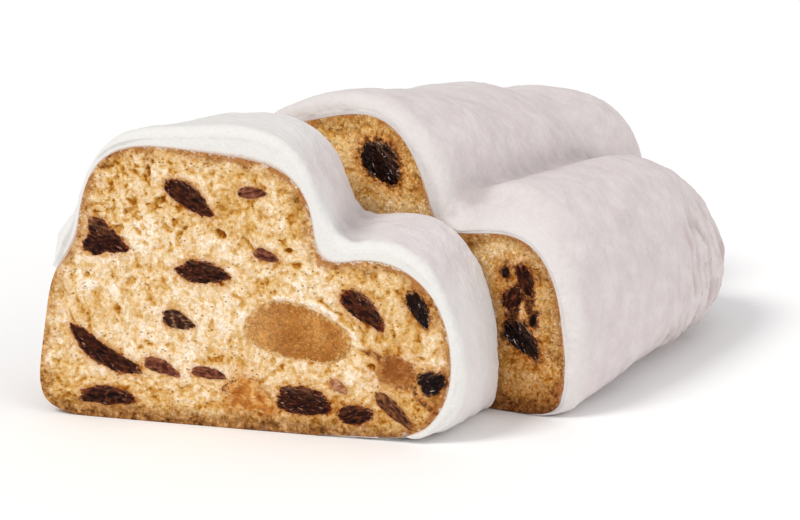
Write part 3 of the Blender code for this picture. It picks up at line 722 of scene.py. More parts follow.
def build_bread(name, node, section_at, centre_at, depth_rows, spacing, front, back, to_row, materials, seed, tip=None):
    """The bread as one closed mesh: cut front, crust round it, and a cut back or a round end."""
    front_section = section_at(0.0)
    loop, code = outline_of(front_section, centre_at(0.0), spacing * 1.1)
    flat, tris, height, tone, edge, _, pocket = cut_face(
        front_section, loop, spacing, front["pockets"], seed, front["hollow"], front.get("shade"), front.get("marks", ())
    )
    order = face_loop_index(flat, loop)
    points = [np.stack([flat[:, 0], -height, flat[:, 1]], -1)]
    points[0][order, 1] = np.minimum(points[0][order, 1], 0.1) * 0 + 0.08
    faces = [tris]
    tones, edges_, pocket_ = [tone], [edge], [pocket]
    stains = [stain_from(flat, front["stains"])]
    crusts = [np.exp(-((edge / front.get("crust", 3.6)) ** 1.4))]
    base = len(flat)
    previous = order
    side_quads = []
    rows = []
    for y in depth_rows:
        ring = section_points(section_at(y), centre_at(y), code)
        rows.append(np.stack([ring[:, 0], np.full(len(ring), y), ring[:, 1]], -1))
    n = len(loop)
    for row in rows:
        current = np.arange(base, base + n)
        nxt = np.roll(np.arange(n), -1)
        side_quads.append(np.stack([previous, current, current[nxt], previous[nxt]], -1))
        points.append(row)
        tones.append(np.full(n, 0.5))
        edges_.append(np.zeros(n))
        pocket_.append(np.zeros(n))
        stains.append(np.zeros(n))
        crusts.append(np.ones(n) * 1.6)
        previous = current
        base += n
    quads = np.concatenate(side_quads)
    if back is not None:
        y_back = depth_rows[-1]
        loop_b = rows[-1][:, [0, 2]]
        flat_b, tris_b, height_b, tone_b, edge_b, _, pocket_b = cut_face(
            section_at(y_back), loop_b, back["spacing"], back["pockets"], seed + 3, back["hollow"]
        )
        order_b = face_loop_index(flat_b, loop_b)
        extra = np.stack([flat_b[:, 0], y_back + height_b, flat_b[:, 1]], -1)
        remap = np.arange(len(flat_b)) + base
        remap[order_b] = previous
        points.append(extra)
        tris_b = remap[tris_b][:, ::-1]
        faces.append(tris_b)
        tones.append(tone_b)
        edges_.append(edge_b)
        pocket_.append(pocket_b)
        stains.append(stain_from(flat_b, back["stains"]))
        crusts.append(np.exp(-((edge_b / 3.6) ** 1.4)))
        base += len(flat_b)
    else:
        points.append(np.array([tip]))
        for arr, value in ((tones, 0.5), (edges_, 0.0), (pocket_, 0.0), (stains, 0.0), (crusts, 1.6)):
            arr.append(np.array([value]))
        nxt = np.roll(previous, -1)
        faces.append(np.stack([previous, np.full(n, base), nxt], -1))
        base += 1
    points = np.vstack(points)
    triangles = np.concatenate(faces)
    # The side's relief, which fades to nothing at the cuts and on the flat base.
    side = np.unique(quads)
    push = crust_relief(points[side], seed) * smooth(points[side][:, 2] / 1.5)
    normal = normals_of(points, quads)[side]
    fade = smooth((points[side][:, 1] - 0.05) / 1.0)
    points[side] += normal * (push * fade)[:, None]
    points[:, 2] = np.maximum(points[:, 2], 0.0)
    used = np.zeros(len(points), bool)
    used[triangles.ravel()] = True
    used[quads.ravel()] = True
    renumber = np.cumsum(used) - 1
    all_faces = list(renumber[triangles]) + list(renumber[quads])
    attributes = {
        "tone": np.concatenate(tones)[used],
        "edge": np.concatenate(edges_)[used],
        "covered": covered_at(points[used]),
        "crust": np.concatenate(crusts)[used],
        "stain": np.concatenate(stains)[used],
        "hollow": np.concatenate(pocket_)[used],
        "rise": points[used][:, 2],
    }
    return add_piece(name, points[used], all_faces, [node], materials, to_row, attributes)


# ------------------------------------------------------------------ sugar coat


def dimples(p, seed):
    """Short upright dents in the sugar, 0 to 1."""
    bent = p + 1.2 * noise(p, 7.0, 94 + seed)[:, None]
    return smooth((noise(bent, (9.0, 3.4, 11.0), 85 + seed) - 0.10) / 0.46)


def crease_of(radius, band):
    """The deepest dip between two rises on each row: where it is, and how deep."""
    r = radius[:, band]
    left = np.maximum.accumulate(r, axis=1)
    right = np.maximum.accumulate(r[:, ::-1], axis=1)[:, ::-1]
    depth = np.minimum(left, right) - r
    at = depth.argmax(1)
    return at + band.start, depth[np.arange(len(r)), at]


def coat_relief(p, seed, lumpy, lumps=()):
    """How far the sugar stands out of its smooth form, in mm."""
    out = 0.55 * noise(p, (13.0, 15.0, 12.0), 80 + seed) + 0.26 * noise(p, 5.5, 81 + seed)
    out += 0.15 * noise(p, 2.4, 82 + seed) + 0.13 * noise(p, 1.35, 83 + seed)
    out += lumpy * 0.9 * noise(p, (9.0, 4.4, 13.0), 84 + seed)
    out -= lumpy * 1.3 * dimples(p, seed)
    out += 0.8 * smooth((7.0 - p[:, 2]) / 6.0) * (noise(p, 4.5, 86 + seed) - 0.2)
    for lx, ly, lz, size, lift in lumps:
        d = ((p - np.array([lx, ly, lz])) ** 2).sum(-1)
        out += lift * np.exp(-d / size**2)
    return out


def build_coat(name, node, outer_at, inner_at, centre_at, left_at, depth, columns, row_step, back_cut, to_row, materials, seed, lumpy_at, pale_at, lumps=(), taper=6.0, tip=None, end_out=None, end_in=None, round_over=RIM, round_share=0.55):
    """The pressed sugar as one closed shell: outer surface, cut rim and inner surface.

    The coat's outer edge at a cut is rounded over round_over mm and drops by up to round_share of its thickness."""
    share = np.linspace(0.0, 1.0, columns)
    phis = np.radians(np.linspace(0, 90, 8 if round_over <= RIM else 13))
    if back_cut:
        inner_rows = np.arange(round_over + row_step, depth - round_over - 0.5 * row_step, row_step)
        plan = [(round_over * (1 - math.cos(f)), 1 - math.sin(f)) for f in phis]
        plan += [(y, 0.0) for y in inner_rows]
        plan += [(depth - round_over * (1 - math.cos(f)), 1 - math.sin(f)) for f in phis[::-1]]
    else:
        straight = np.arange(round_over + row_step, depth * 0.62, row_step)
        rest = depth * 0.62 + (depth - depth * 0.62) * np.sin(np.linspace(0, np.pi / 2, int(depth * 0.38 / row_step * 1.35)))
        plan = [(round_over * (1 - math.cos(f)), 1 - math.sin(f)) for f in phis]
        plan += [(y, 0.0) for y in np.concatenate([straight, rest[1:]])]

    def rays_at(y):
        return np.radians(0.35 + (left_at(y) - 0.35) * share)

    def inner_radius(y, y_in, rays):
        return reach(rays, inner_at(y_in), centre_at(y)) + 0.02

    def row(y, inset, kind):
        rays = rays_at(y)
        centre = centre_at(y)
        y_in = y if end_in is None else y * end_in / end_out
        r_in = inner_radius(y, min(y, y_in), rays)
        if kind == "inner":
            r_in = reach(rays, inner_at(y_in), centre_at(y_in)) + 0.02
            c = centre_at(y_in)
            return np.stack([c + r_in * np.cos(rays), np.full(columns, y_in), r_in * np.sin(rays)], -1)
        r_out = reach(rays, outer_at(y), centre)
        open_end = smooth((178.0 - left_at(y)) / 20.0)
        fade = 1 - open_end * (1 - smooth((rays[-1] - rays) / math.radians(taper)))
        thick = 0.35 + np.maximum(r_out - r_in - 0.35, 0.25) * fade
        r = r_in + thick - inset * np.minimum(round_over, thick * round_share)
        if kind == "rim":
            return r, r_in, rays, centre
        return np.stack([centre + r * np.cos(rays), np.full(columns, y), r * np.sin(rays)], -1)

    outer = [row(y, inset, "outer") for y, inset in plan]
    rows = len(outer)
    points = [np.vstack(outer)]
    quads = [grid_quads(rows, columns)]
    base = rows * columns
    kind = [np.zeros(base)]
    fresh = [np.repeat([smooth(1.0 - y / (1.6 * round_over)) for y, _ in plan], columns)]
    steps = 11
    rim_share = np.repeat(np.arange(1, steps + 1) / steps, columns)

    def rim_rows(y, first_row, flip, start):
        r, r_in, rays, centre = row(y, 1.0, "rim")
        made = []
        for k in range(1, steps + 1):
            s = k / steps
            rad = r * (1 - s) + (r_in - 0.12) * s
            made.append(np.stack([centre + rad * np.cos(rays), np.full(columns, y), rad * np.sin(rays)], -1))
        ids = [first_row] + [np.arange(start + k * columns, start + (k + 1) * columns) for k in range(steps)]
        found = []
        for a, b in zip(ids[:-1], ids[1:]):
            q = np.stack([a[:-1], a[1:], b[1:], b[:-1]], -1)
            found.append(q[:, ::-1] if flip else q)
        return made, found, ids[-1]

    made, found, inner_front = rim_rows(0.0, np.arange(columns), False, base)
    points.append(np.vstack(made))
    quads += found
    kind.append(np.ones(len(made) * columns))
    fresh.append(1.0 + rim_share)
    base += len(made) * columns
    if back_cut:
        made, found, inner_back = rim_rows(depth, np.arange((rows - 1) * columns, rows * columns), True, base)
        points.append(np.vstack(made))
        quads += found
        kind.append(np.ones(len(made) * columns))
        fresh.append(1.0 + rim_share)
        base += len(made) * columns
    # The inner surface, coarser along the bread, against the crust.
    inner_y = [y for y, _ in plan][9:-1:9]
    ids = [inner_front]
    for y in inner_y:
        points.append(row(y, 0.0, "inner"))
        ids.append(np.arange(base, base + columns))
        kind.append(np.full(columns, 2.0))
        fresh.append(np.zeros(columns))
        base += columns
    triangles = []
    if back_cut:
        ids.append(inner_back)
    else:
        points.append(row(plan[-1][0], 0.0, "inner"))
        ids.append(np.arange(base, base + columns))
        kind.append(np.full(columns, 2.0))
        fresh.append(np.zeros(columns))
        base += columns
        points.append(np.array(tip))
        kind.append(np.array([0.0, 2.0]))
        fresh.append(np.zeros(2))
        last = np.arange((rows - 1) * columns, rows * columns)
        out_pole, in_pole = base, base + 1
        base += 2
        for i in range(columns - 1):
            triangles.append((last[i + 1], last[i], out_pole))
            triangles.append((ids[-1][i], ids[-1][i + 1], in_pole))
        triangles.append((last[0], last[-1], out_pole))
        triangles.append((ids[-1][-1], ids[-1][0], in_pole))
        triangles.append((last[-1], last[0], ids[-1][0]))
        triangles.append((last[-1], ids[-1][0], ids[-1][-1]))
    for a, b in zip(ids[:-1], ids[1:]):
        quads.append(np.stack([a[:-1], a[1:], b[1:], b[:-1]], -1))
    points = np.vstack(points)
    kind = np.concatenate(kind)
    fresh = np.concatenate(fresh)
    quads = np.concatenate(quads)
    # The two long edges: the outer line has more points than the inner one.
    for side, flip in ((0, False), (columns - 1, True)):
        a = np.arange(rows) * columns + side
        b = np.array([i[side] for i in ids])
        # the rim's own steps join the two lines at each cut
        front_steps = [rows * columns + k * columns + side for k in range(steps)]
        b_line = np.concatenate([front_steps[:-1], b]) if steps > 1 else b
        if back_cut:
            back_steps = [(rows + steps) * columns + k * columns + side for k in range(steps)]
            b_line = np.concatenate([b_line, back_steps[:-1][::-1]])
        for t in zip_lines(a, b_line, points[a], points[b_line]):
            triangles.append(t if flip else t[::-1])
    triangles = np.array(triangles)
    shown = kind < 2
    normal = normals_of(points, quads, triangles)
    lumpy = lumpy_at(points)
    # The crease between the hump and the fold: where the radius is least on each outer row.
    grid = points[: rows * columns].reshape(rows, columns, 3)
    radius = np.hypot(grid[..., 0] - CENTRE_X, grid[..., 2])
    band = slice(int(columns * 0.12), int(columns * 0.62))
    least, deep = crease_of(radius, band)
    arc = np.concatenate([np.zeros((rows, 1)), np.cumsum(np.linalg.norm(np.diff(grid, axis=1), axis=2), axis=1)], axis=1)
    from_crease = np.abs(arc - arc[np.arange(rows), least][:, None])
    valley = np.exp(-((from_crease / 4.5) ** 2)) * smooth((deep - 0.4) / 2.6)[:, None]
    valley = np.concatenate([valley.ravel(), np.zeros(len(points) - rows * columns)])
    push = coat_relief(points, seed, lumpy, lumps) * np.where(kind == 1, 0.35, 1.0)
    push = push - valley * (0.3 + 0.7 * np.clip(noise(points, (3.4, 6.0, 3.4), 90 + seed), -0.2, 1))
    floor = smooth(points[:, 2] / 2.5)
    moved = points + normal * (push * shown * (0.25 + 0.75 * floor))[:, None]
    if back_cut:  # the far edge is ragged
        ragged = 0.45 + 0.55 * noise(points, (3.2, 60.0, 3.2), 88) + 0.35 * noise(points, (1.6, 60.0, 1.6), 89)
        share = smooth((points[:, 1] - (depth - 3.0)) / 3.0) * np.clip(2.0 - fresh * (kind == 1), 0, 1)
        moved[:, 1] -= np.clip(ragged, 0, 1.3) * share * (kind < 2)
    moved[:, 2] = np.maximum(moved[:, 2], 0.0)
    attributes = {
        "lumpy": lumpy, "rise": moved[:, 2], "fresh": fresh, "pale": pale_at(points), "valley": valley,
        "dent": lumpy * dimples(points, seed),
    }
    faces = list(quads) + list(triangles)
    return add_piece(name, moved, faces, [node], materials, to_row, attributes)


# ------------------------------------------------------------------ raisins, peel, marzipan


def build_pip(name, node, entry, number, face_y, way, to_row, materials, slot, proud=0.45, wrinkle=0.3, sink=0.0):
    """One wrinkled raisin or soft piece of peel, cut or bulging a little at the face."""
    length, width, lean = entry[2], entry[3], entry[4]
    around, rings = 96, 16
    outline = pip_outline(entry, 0.16 if slot == "peel" else 0.0, number, around)
    centre = outline.mean(0)
    deep = min(4.6, 1.6 + 0.55 * width)
    points = [np.array([[centre[0], 0.0, centre[1]]])]
    shares = []
    for k in range(1, rings + 1):  # the shown side
        s = math.sin(0.5 * math.pi * k / rings)
        ring = centre + (outline - centre) * s
        points.append(np.stack([ring[:, 0], np.zeros(around), ring[:, 1]], -1))
        shares.append(s)
    for k in range(1, 7):  # the hidden side
        phi = 0.5 * math.pi * k / 7
        ring = centre + (outline - centre) * (math.cos(phi) * 0.98)
        points.append(np.stack([ring[:, 0], np.full(around, deep * math.sin(phi)), ring[:, 1]], -1))
    points.append(np.array([[centre[0], deep, centre[1]]]))
    pts = np.vstack(points)
    level = np.concatenate([[0.0], np.repeat(shares, around), np.full(6 * around, 2.0), [2.0]])
    front = level <= 1.0
    # local axes along and across the piece, for wrinkles that run along it
    ct, st = math.cos(math.radians(lean)), math.sin(math.radians(lean))
    u = (pts[:, 0] - centre[0]) * ct + (pts[:, 2] - centre[1]) * st
    v = -(pts[:, 0] - centre[0]) * st + (pts[:, 2] - centre[1]) * ct
    q = np.stack([u, v, np.full(len(u), 9.0 * number)], -1)
    folds = ridged(q + 0.5 * noise(q, 2.0, 91)[:, None], (2.6, 1.15, 2.0), 2, 92)
    fine = noise(q, 0.6, 95)
    dome = proud * (1 - np.clip(level, 0, 1) ** 3.0)
    rise = dome + 1.7 * wrinkle * (folds - 0.55) * (1 - np.clip(level, 0, 1) ** 6) + 0.08 * fine - sink
    pts[front, 1] = -rise[front]
    pts[:, 1] = face_y + way * pts[:, 1]
    faces = []
    for i in range(around):
        j = (i + 1) % around
        faces.append((0, 1 + i, 1 + j))
    total = rings + 6
    for k in range(total - 1):
        a, b = 1 + k * around, 1 + (k + 1) * around
        for i in range(around):
            j = (i + 1) % around
            faces.append((a + j, a + i, b + i, b + j))
    last = 1 + (total - 1) * around
    for i in range(around):
        j = (i + 1) % around
        faces.append((len(pts) - 1, last + j, last + i))
    if way < 0:
        faces = [f[::-1] for f in faces]
    attributes = {"folds": folds, "rim": np.clip(level, 0, 1), "lengthwise": u, "crosswise": v}
    return add_piece(name, pts, faces, [node], materials, to_row, attributes)


def build_marzipan(name, node, size, runs, to_row, materials, seed, both_cut):
    """The almond paste: grainy cut face or faces, and the rope between or behind them."""
    around, rings = 150, 46
    outline = marzipan_outline(size, 0.05, around, seed)
    centre = outline.mean(0)
    points, faces, levels, start = [], [], [], 0

    def disc(y, way):
        nonlocal start
        pts = [np.array([[centre[0], y, centre[1]]])]
        for k in range(1, rings + 1):
            ring = centre + (outline - centre) * (k / rings) ** 0.8
            pts.append(np.stack([ring[:, 0], np.full(around, y), ring[:, 1]], -1))
        pts = np.vstack(pts)
        level = np.concatenate([[0.0], np.repeat([(k / rings) ** 0.8 for k in range(1, rings + 1)], around)])
        p = pts * np.array([1, 0, 1]) + np.array([0, 5.0 * seed, 0])
        rise = 0.16 * noise(p, 5.0, 101) + 0.10 * noise(p, 1.5, 102) + 0.10 * noise(p, 0.8, 103) + 0.25 * (1 - level**2) - 0.25
        pts[:, 1] = y - way * rise * smooth((1.02 - level) * 12)
        tri = [(0, 1 + i, 1 + (i + 1) % around) for i in range(around)]
        quad = []
        for k in range(rings - 1):
            a, b = 1 + k * around, 1 + (k + 1) * around
            for i in range(around):
                j = (i + 1) % around
                quad.append((a + j, a + i, b + i, b + j))
        found = tri + quad
        if way < 0:
            found = [f[::-1] for f in found]
        found = [tuple(start + i for i in f) for f in found]
        ring_ids = np.arange(start + 1 + (rings - 1) * around, start + 1 + rings * around)
        start += len(pts)
        points.append(pts)
        levels.append(level)
        faces.extend(found)
        return ring_ids

    front = disc(0.0, 1)
    previous = front
    for y, share_, drift in runs:
        ring = centre + (outline - centre) * share_
        pts = np.stack([ring[:, 0] + drift, np.full(around, y), ring[:, 1]], -1)
        ids = np.arange(start, start + around)
        start += around
        points.append(pts)
        levels.append(np.ones(around))
        for i in range(around):
            j = (i + 1) % around
            faces.append((previous[j], previous[i], ids[i], ids[j]))
        previous = ids
    if both_cut:
        back = disc(SLICE_DEPTH, -1)
        for i in range(around):
            j = (i + 1) % around
            faces.append((previous[j], previous[i], back[i], back[j]))
    else:
        pole = start
        levels.append(np.ones(1))
        points.append(np.array([[points[-1][:, 0].mean(), runs[-1][0] + 1.0, points[-1][:, 2].mean()]]))
        for i in range(around):
            j = (i + 1) % around
            faces.append((previous[j], previous[i], pole))
    points = np.vstack(points)
    along = (points[:, 0] - (centre[0] - size[2] / 2)) / size[2]
    attributes = {"level": np.concatenate(levels), "along": along}
    return add_piece(name, points, faces, [node], materials, to_row, attributes)


# ------------------------------------------------------------------ materials


class Nodes:
    """A small builder of shader nodes."""

    def __init__(self, name):
        self.made = bpy.data.materials.new(name)
        self.made.use_nodes = True
        self.tree = self.made.node_tree
        self.shader = self.tree.nodes["Principled BSDF"]
        self.coords = self.tree.nodes.new("ShaderNodeTexCoord")

    def _in(self, node, key, value):
        if isinstance(value, bpy.types.NodeSocket):
            self.tree.links.new(value, node.inputs[key])
        elif value is not None:
            node.inputs[key].default_value = value

    def attribute(self, name):
        node = self.tree.nodes.new("ShaderNodeAttribute")
        node.attribute_name = name
        return node.outputs["Fac"]

    def across_piece(self):
        """The piece's own long and short way, in metres, as a place to put noise."""
        node = self.tree.nodes.new("ShaderNodeCombineXYZ")
        for index, name in enumerate(("lengthwise", "crosswise")):
            self.tree.links.new(self.math("MULTIPLY", self.attribute(name), MM), node.inputs[index])
        return node.outputs[0]

    def scale(self, colour, factor):
        node = self.tree.nodes.new("ShaderNodeVectorMath")
        node.operation = "SCALE"
        self.tree.links.new(colour, node.inputs[0])
        self._in(node, "Scale", factor)
        return node.outputs[0]

    def noise(self, size_mm, detail=3.0, rough=0.6, stretch=(1, 1, 1), distortion=0.0, offset=0.0, at=None):
        mapping = self.tree.nodes.new("ShaderNodeMapping")
        self.tree.links.new(at or self.coords.outputs["Object"], mapping.inputs["Vector"])
        mapping.inputs["Scale"].default_value = stretch
        mapping.inputs["Location"].default_value = (offset, offset * 0.7, offset * 1.3)
        node = self.tree.nodes.new("ShaderNodeTexNoise")
        self.tree.links.new(mapping.outputs["Vector"], node.inputs["Vector"])
        node.inputs["Scale"].default_value = 1000.0 / size_mm
        node.inputs["Detail"].default_value = detail
        node.inputs["Roughness"].default_value = rough
        node.inputs["Distortion"].default_value = distortion
        return node.outputs["Fac"]

    def voronoi(self, size_mm, feature="F1", stretch=(1, 1, 1), randomness=1.0):
        mapping = self.tree.nodes.new("ShaderNodeMapping")
        self.tree.links.new(self.coords.outputs["Object"], mapping.inputs["Vector"])
        mapping.inputs["Scale"].default_value = stretch
        node = self.tree.nodes.new("ShaderNodeTexVoronoi")
        node.feature = feature
        self.tree.links.new(mapping.outputs["Vector"], node.inputs["Vector"])
        node.inputs["Scale"].default_value = 1000.0 / size_mm
        node.inputs["Randomness"].default_value = randomness
        return node.outputs["Distance"]

    def math(self, kind, a, b=None, clamp=False):
        node = self.tree.nodes.new("ShaderNodeMath")
        node.operation = kind
        node.use_clamp = clamp
        self._in(node, 0, a)
        if b is not None:
            self._in(node, 1, b)
        return node.outputs[0]

    def span(self, value, low, high, to_low=0.0, to_high=1.0, interpolation="SMOOTHSTEP"):
        node = self.tree.nodes.new("ShaderNodeMapRange")
        node.interpolation_type = interpolation
        for key, item in (("Value", value), ("From Min", low), ("From Max", high), ("To Min", to_low), ("To Max", to_high)):
            self._in(node, key, item)
        return node.outputs["Result"]

    def ramp(self, value, stops, interpolation="LINEAR"):
        node = self.tree.nodes.new("ShaderNodeValToRGB")
        node.color_ramp.interpolation = interpolation
        self._in(node, "Fac", value)
        elements = node.color_ramp.elements
        while len(elements) < len(stops):
            elements.new(0.5)
        for element, (at, colour) in zip(elements, stops):
            element.position = at
            element.color = (*colour, 1.0)
        return node.outputs["Color"]

    def mix(self, share, a, b, kind="MIX"):
        node = self.tree.nodes.new("ShaderNodeMix")
        node.data_type = "RGBA"
        node.blend_type = kind
        self._in(node, 0, share)
        for index, value in ((6, a), (7, b)):
            if isinstance(value, bpy.types.NodeSocket):
                self.tree.links.new(value, node.inputs[index])
            else:
                node.inputs[index].default_value = (*value, 1.0)
        return node.outputs[2]

    def bump(self, height, distance_mm, strength=1.0, normal=None):
        node = self.tree.nodes.new("ShaderNodeBump")
        node.inputs["Strength"].default_value = strength
        node.inputs["Distance"].default_value = distance_mm * MM
        self._in(node, "Height", height)
        if normal is not None:
            self.tree.links.new(normal, node.inputs["Normal"])
        return node.outputs["Normal"]

    def finish(self, colour, roughness, normal=None, **fixed):
        self._in(self.shader, "Base Color", colour)
        self._in(self.shader, "Roughness", roughness)
        if normal is not None:
            self.tree.links.new(normal, self.shader.inputs["Normal"])
        for key, value in fixed.items():
            self.shader.inputs[key.replace("_", " ").title().replace("Ior", "IOR")].default_value = value
        return self.made


def crumb_material(name, shade, busy, spilt):
    """shade is painted shade that dims the whole cut, for a cut lying in the slice's shadow; busy is how strongly it is
    grained, spilt how much sugar lies along the cut's edge.
    """
    n = Nodes(name)
    grain = n.noise(0.85, 3.0, 0.65)
    grit = n.noise(0.48, 3.0, 0.7, offset=3.0)
    coarse_grit = n.noise(1.1, 2.0, 0.6, offset=23.0)
    patch = n.noise(9.0, 2.0, 0.5, offset=7.0)
    tone = n.span(n.attribute("tone"), 0.0, 1.0, shade, 1.0 - 2.2 * shade, "LINEAR")
    tone = n.math("ADD", tone, n.span(grain, 0.3, 0.7, -0.13 * busy, 0.13 * busy, "LINEAR"))
    tone = n.math("ADD", tone, n.span(patch, 0.3, 0.7, -0.06 - 0.3 * shade, 0.06 - 0.3 * shade, "LINEAR"), clamp=True)
    crumb = n.ramp(tone, (
        (0.0, (0.30, 0.090, 0.004)),
        (0.15, (0.46, 0.195, 0.022)),
        (0.35, (0.625, 0.350, 0.098)),
        (0.55, (0.740, 0.490, 0.215)),
        (0.78, (0.860, 0.672, 0.440)),
        (1.0, (0.955, 0.845, 0.700)),
    ))
    crust_tone = n.math("ADD", tone, n.span(n.noise(1.3, 4.0, 0.72, offset=11.0), 0.3, 0.7, -0.46, 0.46, "LINEAR"), clamp=True)
    dim = 1.0 - 1.6 * shade
    crust = n.ramp(crust_tone, (
        (0.0, (0.13 * dim, 0.038 * dim, 0.007 * dim)),
        (0.35, (0.35 * dim, 0.145 * dim, 0.033 * dim)),
        (0.7, (0.55 * dim, 0.285 * dim, 0.090 * dim)),
        (1.0, (0.72 * dim, 0.450 * dim, 0.190 * dim)),
    ))
    share = n.math("ADD", n.attribute("crust"), n.span(n.noise(5.0, 4.0, 0.65, offset=25.0), 0.3, 0.7, -0.50, 0.40, "LINEAR"))
    share = n.span(share, 0.14, 0.93 + 0.9 * shade, 0.0, 0.92)
    colour = n.mix(share, crumb, crust)
    # the baked skin outside the cuts: smoother, blotched, with sugar dust in its folds
    skin = n.span(n.attribute("crust"), 1.1, 1.5)
    blotch = n.math("ADD", n.math("MULTIPLY", n.noise(11.0, 4.0, 0.55, offset=33.0, distortion=0.6), 0.7), n.math("MULTIPLY", n.noise(1.6, 3.0, 0.6, offset=35.0), 0.3))
    baked = n.ramp(blotch, ((0.36, (0.155, 0.052, 0.013)), (0.48, (0.275, 0.108, 0.026)), (0.62, (0.43, 0.205, 0.062))))
    dust = n.span(n.noise(1.5, 4.0, 0.75, offset=37.0), 0.52, 0.68, 0.0, 0.55)
    dust = n.math("MULTIPLY", dust, n.span(n.noise(14.0, 2.0, 0.5, offset=39.0), 0.40, 0.62, 0.15, 1.0), clamp=True)
    colour = n.mix(skin, colour, n.mix(dust, baked, (0.62, 0.52, 0.45)))
    # a thin reddish line of crust under the sugar, ragged, with sugar spilling over it
    ragged = n.noise(2.2, 4.0, 0.7, offset=15.0)
    wide = n.span(n.noise(8.0, 3.0, 0.6, offset=41.0), 0.36, 0.64, 1.1, -1.0, "LINEAR")
    line = n.math("ADD", n.math("ADD", n.attribute("edge"), wide), n.span(ragged, 0.3, 0.7, -0.9, 0.9, "LINEAR"))
    line = n.span(line, 0.15, 1.7, 0.85, 0.0)
    line = n.math("MULTIPLY", n.math("MULTIPLY", line, n.attribute("covered")), n.span(skin, 0.0, 1.0, 1.0, 0.0), clamp=True)
    colour = n.mix(line, colour, (0.41, 0.170, 0.052))
    spill = n.span(n.math("ADD", n.attribute("edge"), n.span(n.noise(3.0, 4.0, 0.75, offset=17.0), 0.35, 0.65, -0.95, 0.95, "LINEAR")), 0.0, 0.36, spilt, 0.0)
    spill = n.math("MULTIPLY", spill, n.attribute("covered"), clamp=True)
    colour = n.mix(spill, colour, (0.76, 0.68, 0.58))
    # the baked underside is darker in its lowest millimetres
    under = n.span(n.math("ADD", n.attribute("rise"), n.span(n.noise(2.5, 3.0, 0.6, offset=5.0), 0.3, 0.7, -1.5, 1.5, "LINEAR")), 0.2, 5.8, 0.88, 0.0)
    colour = n.mix(under, colour, n.ramp(crust_tone, ((0.0, (0.060, 0.019, 0.005)), (0.55, (0.30, 0.125, 0.033)), (1.0, (0.56, 0.31, 0.115)))))
    stained = n.math("MULTIPLY", n.attribute("stain"), n.span(n.noise(1.3, 3.0, 0.6, offset=9.0), 0.3, 0.7, 0.6, 1.2, "LINEAR"), clamp=True)
    colour = n.mix(stained, colour, n.mix(1.0, colour, (0.66, 0.36, 0.15), "MULTIPLY"))
    bleed = n.math("ADD", n.attribute("stain"), n.span(n.noise(1.3, 4.0, 0.75, offset=19.0), 0.3, 0.7, -0.40, 0.40, "LINEAR"))
    colour = n.mix(n.span(bleed, 0.66, 0.94, 0.0, 0.88), colour, (0.135, 0.042, 0.013))
    colour = n.mix(n.span(bleed, 0.98, 1.22, 0.0, 0.92), colour, (0.022, 0.006, 0.0025))
    # pin pores, darkened as painted shade in the tiny holes, and the bright and dark grit of a sawn crumb
    pin = n.span(n.voronoi(1.55, stretch=(1, 1, 1.5)), 0.17, 0.27, 1.0, 0.0)
    pin = n.math("MULTIPLY", pin, n.span(n.noise(4.0, 2.0, 0.5, offset=27.0), 0.48, 0.60, 0.10 * busy, 0.85), clamp=True)
    colour = n.mix(pin, colour, n.mix(1.0, colour, (0.34, 0.19, 0.08), "MULTIPLY"))
    light = n.math("ADD", n.span(grit, 0.32, 0.68, -0.20 * busy, 0.20 * busy, "LINEAR"), n.span(coarse_grit, 0.3, 0.7, -0.07 * busy, 0.07 * busy, "LINEAR"))
    light = n.math("MULTIPLY", light, n.span(skin, 0.0, 1.0, 1.0, 0.35, "LINEAR"))
    colour = n.scale(colour, n.math("ADD", light, 1.0))
    if shade:  # painted light and shade on the loaf's cut: brighter and more golden in the hump, clear of the slice's shadow, darker and redder towards the base, in that shadow
        golden = n.mix(1.0, colour, (1.17, 1.11, 0.83), "MULTIPLY")
        colour = n.mix(n.span(n.attribute("rise"), 46.0, 58.0), colour, golden)
        browner = n.mix(1.0, colour, (0.88, 0.77, 0.76), "MULTIPLY")
        colour = n.mix(n.span(n.attribute("rise"), 6.0, 20.0, 1.0, 0.0), colour, browner)
    fine = n.bump(grit, 0.12, 0.6)
    normal = n.bump(grain, 0.28, 0.6, fine)
    return n.finish(colour, n.span(tone, 0.0, 1.0, 0.75, 0.9, "LINEAR"), normal, specular_ior_level=0.08)


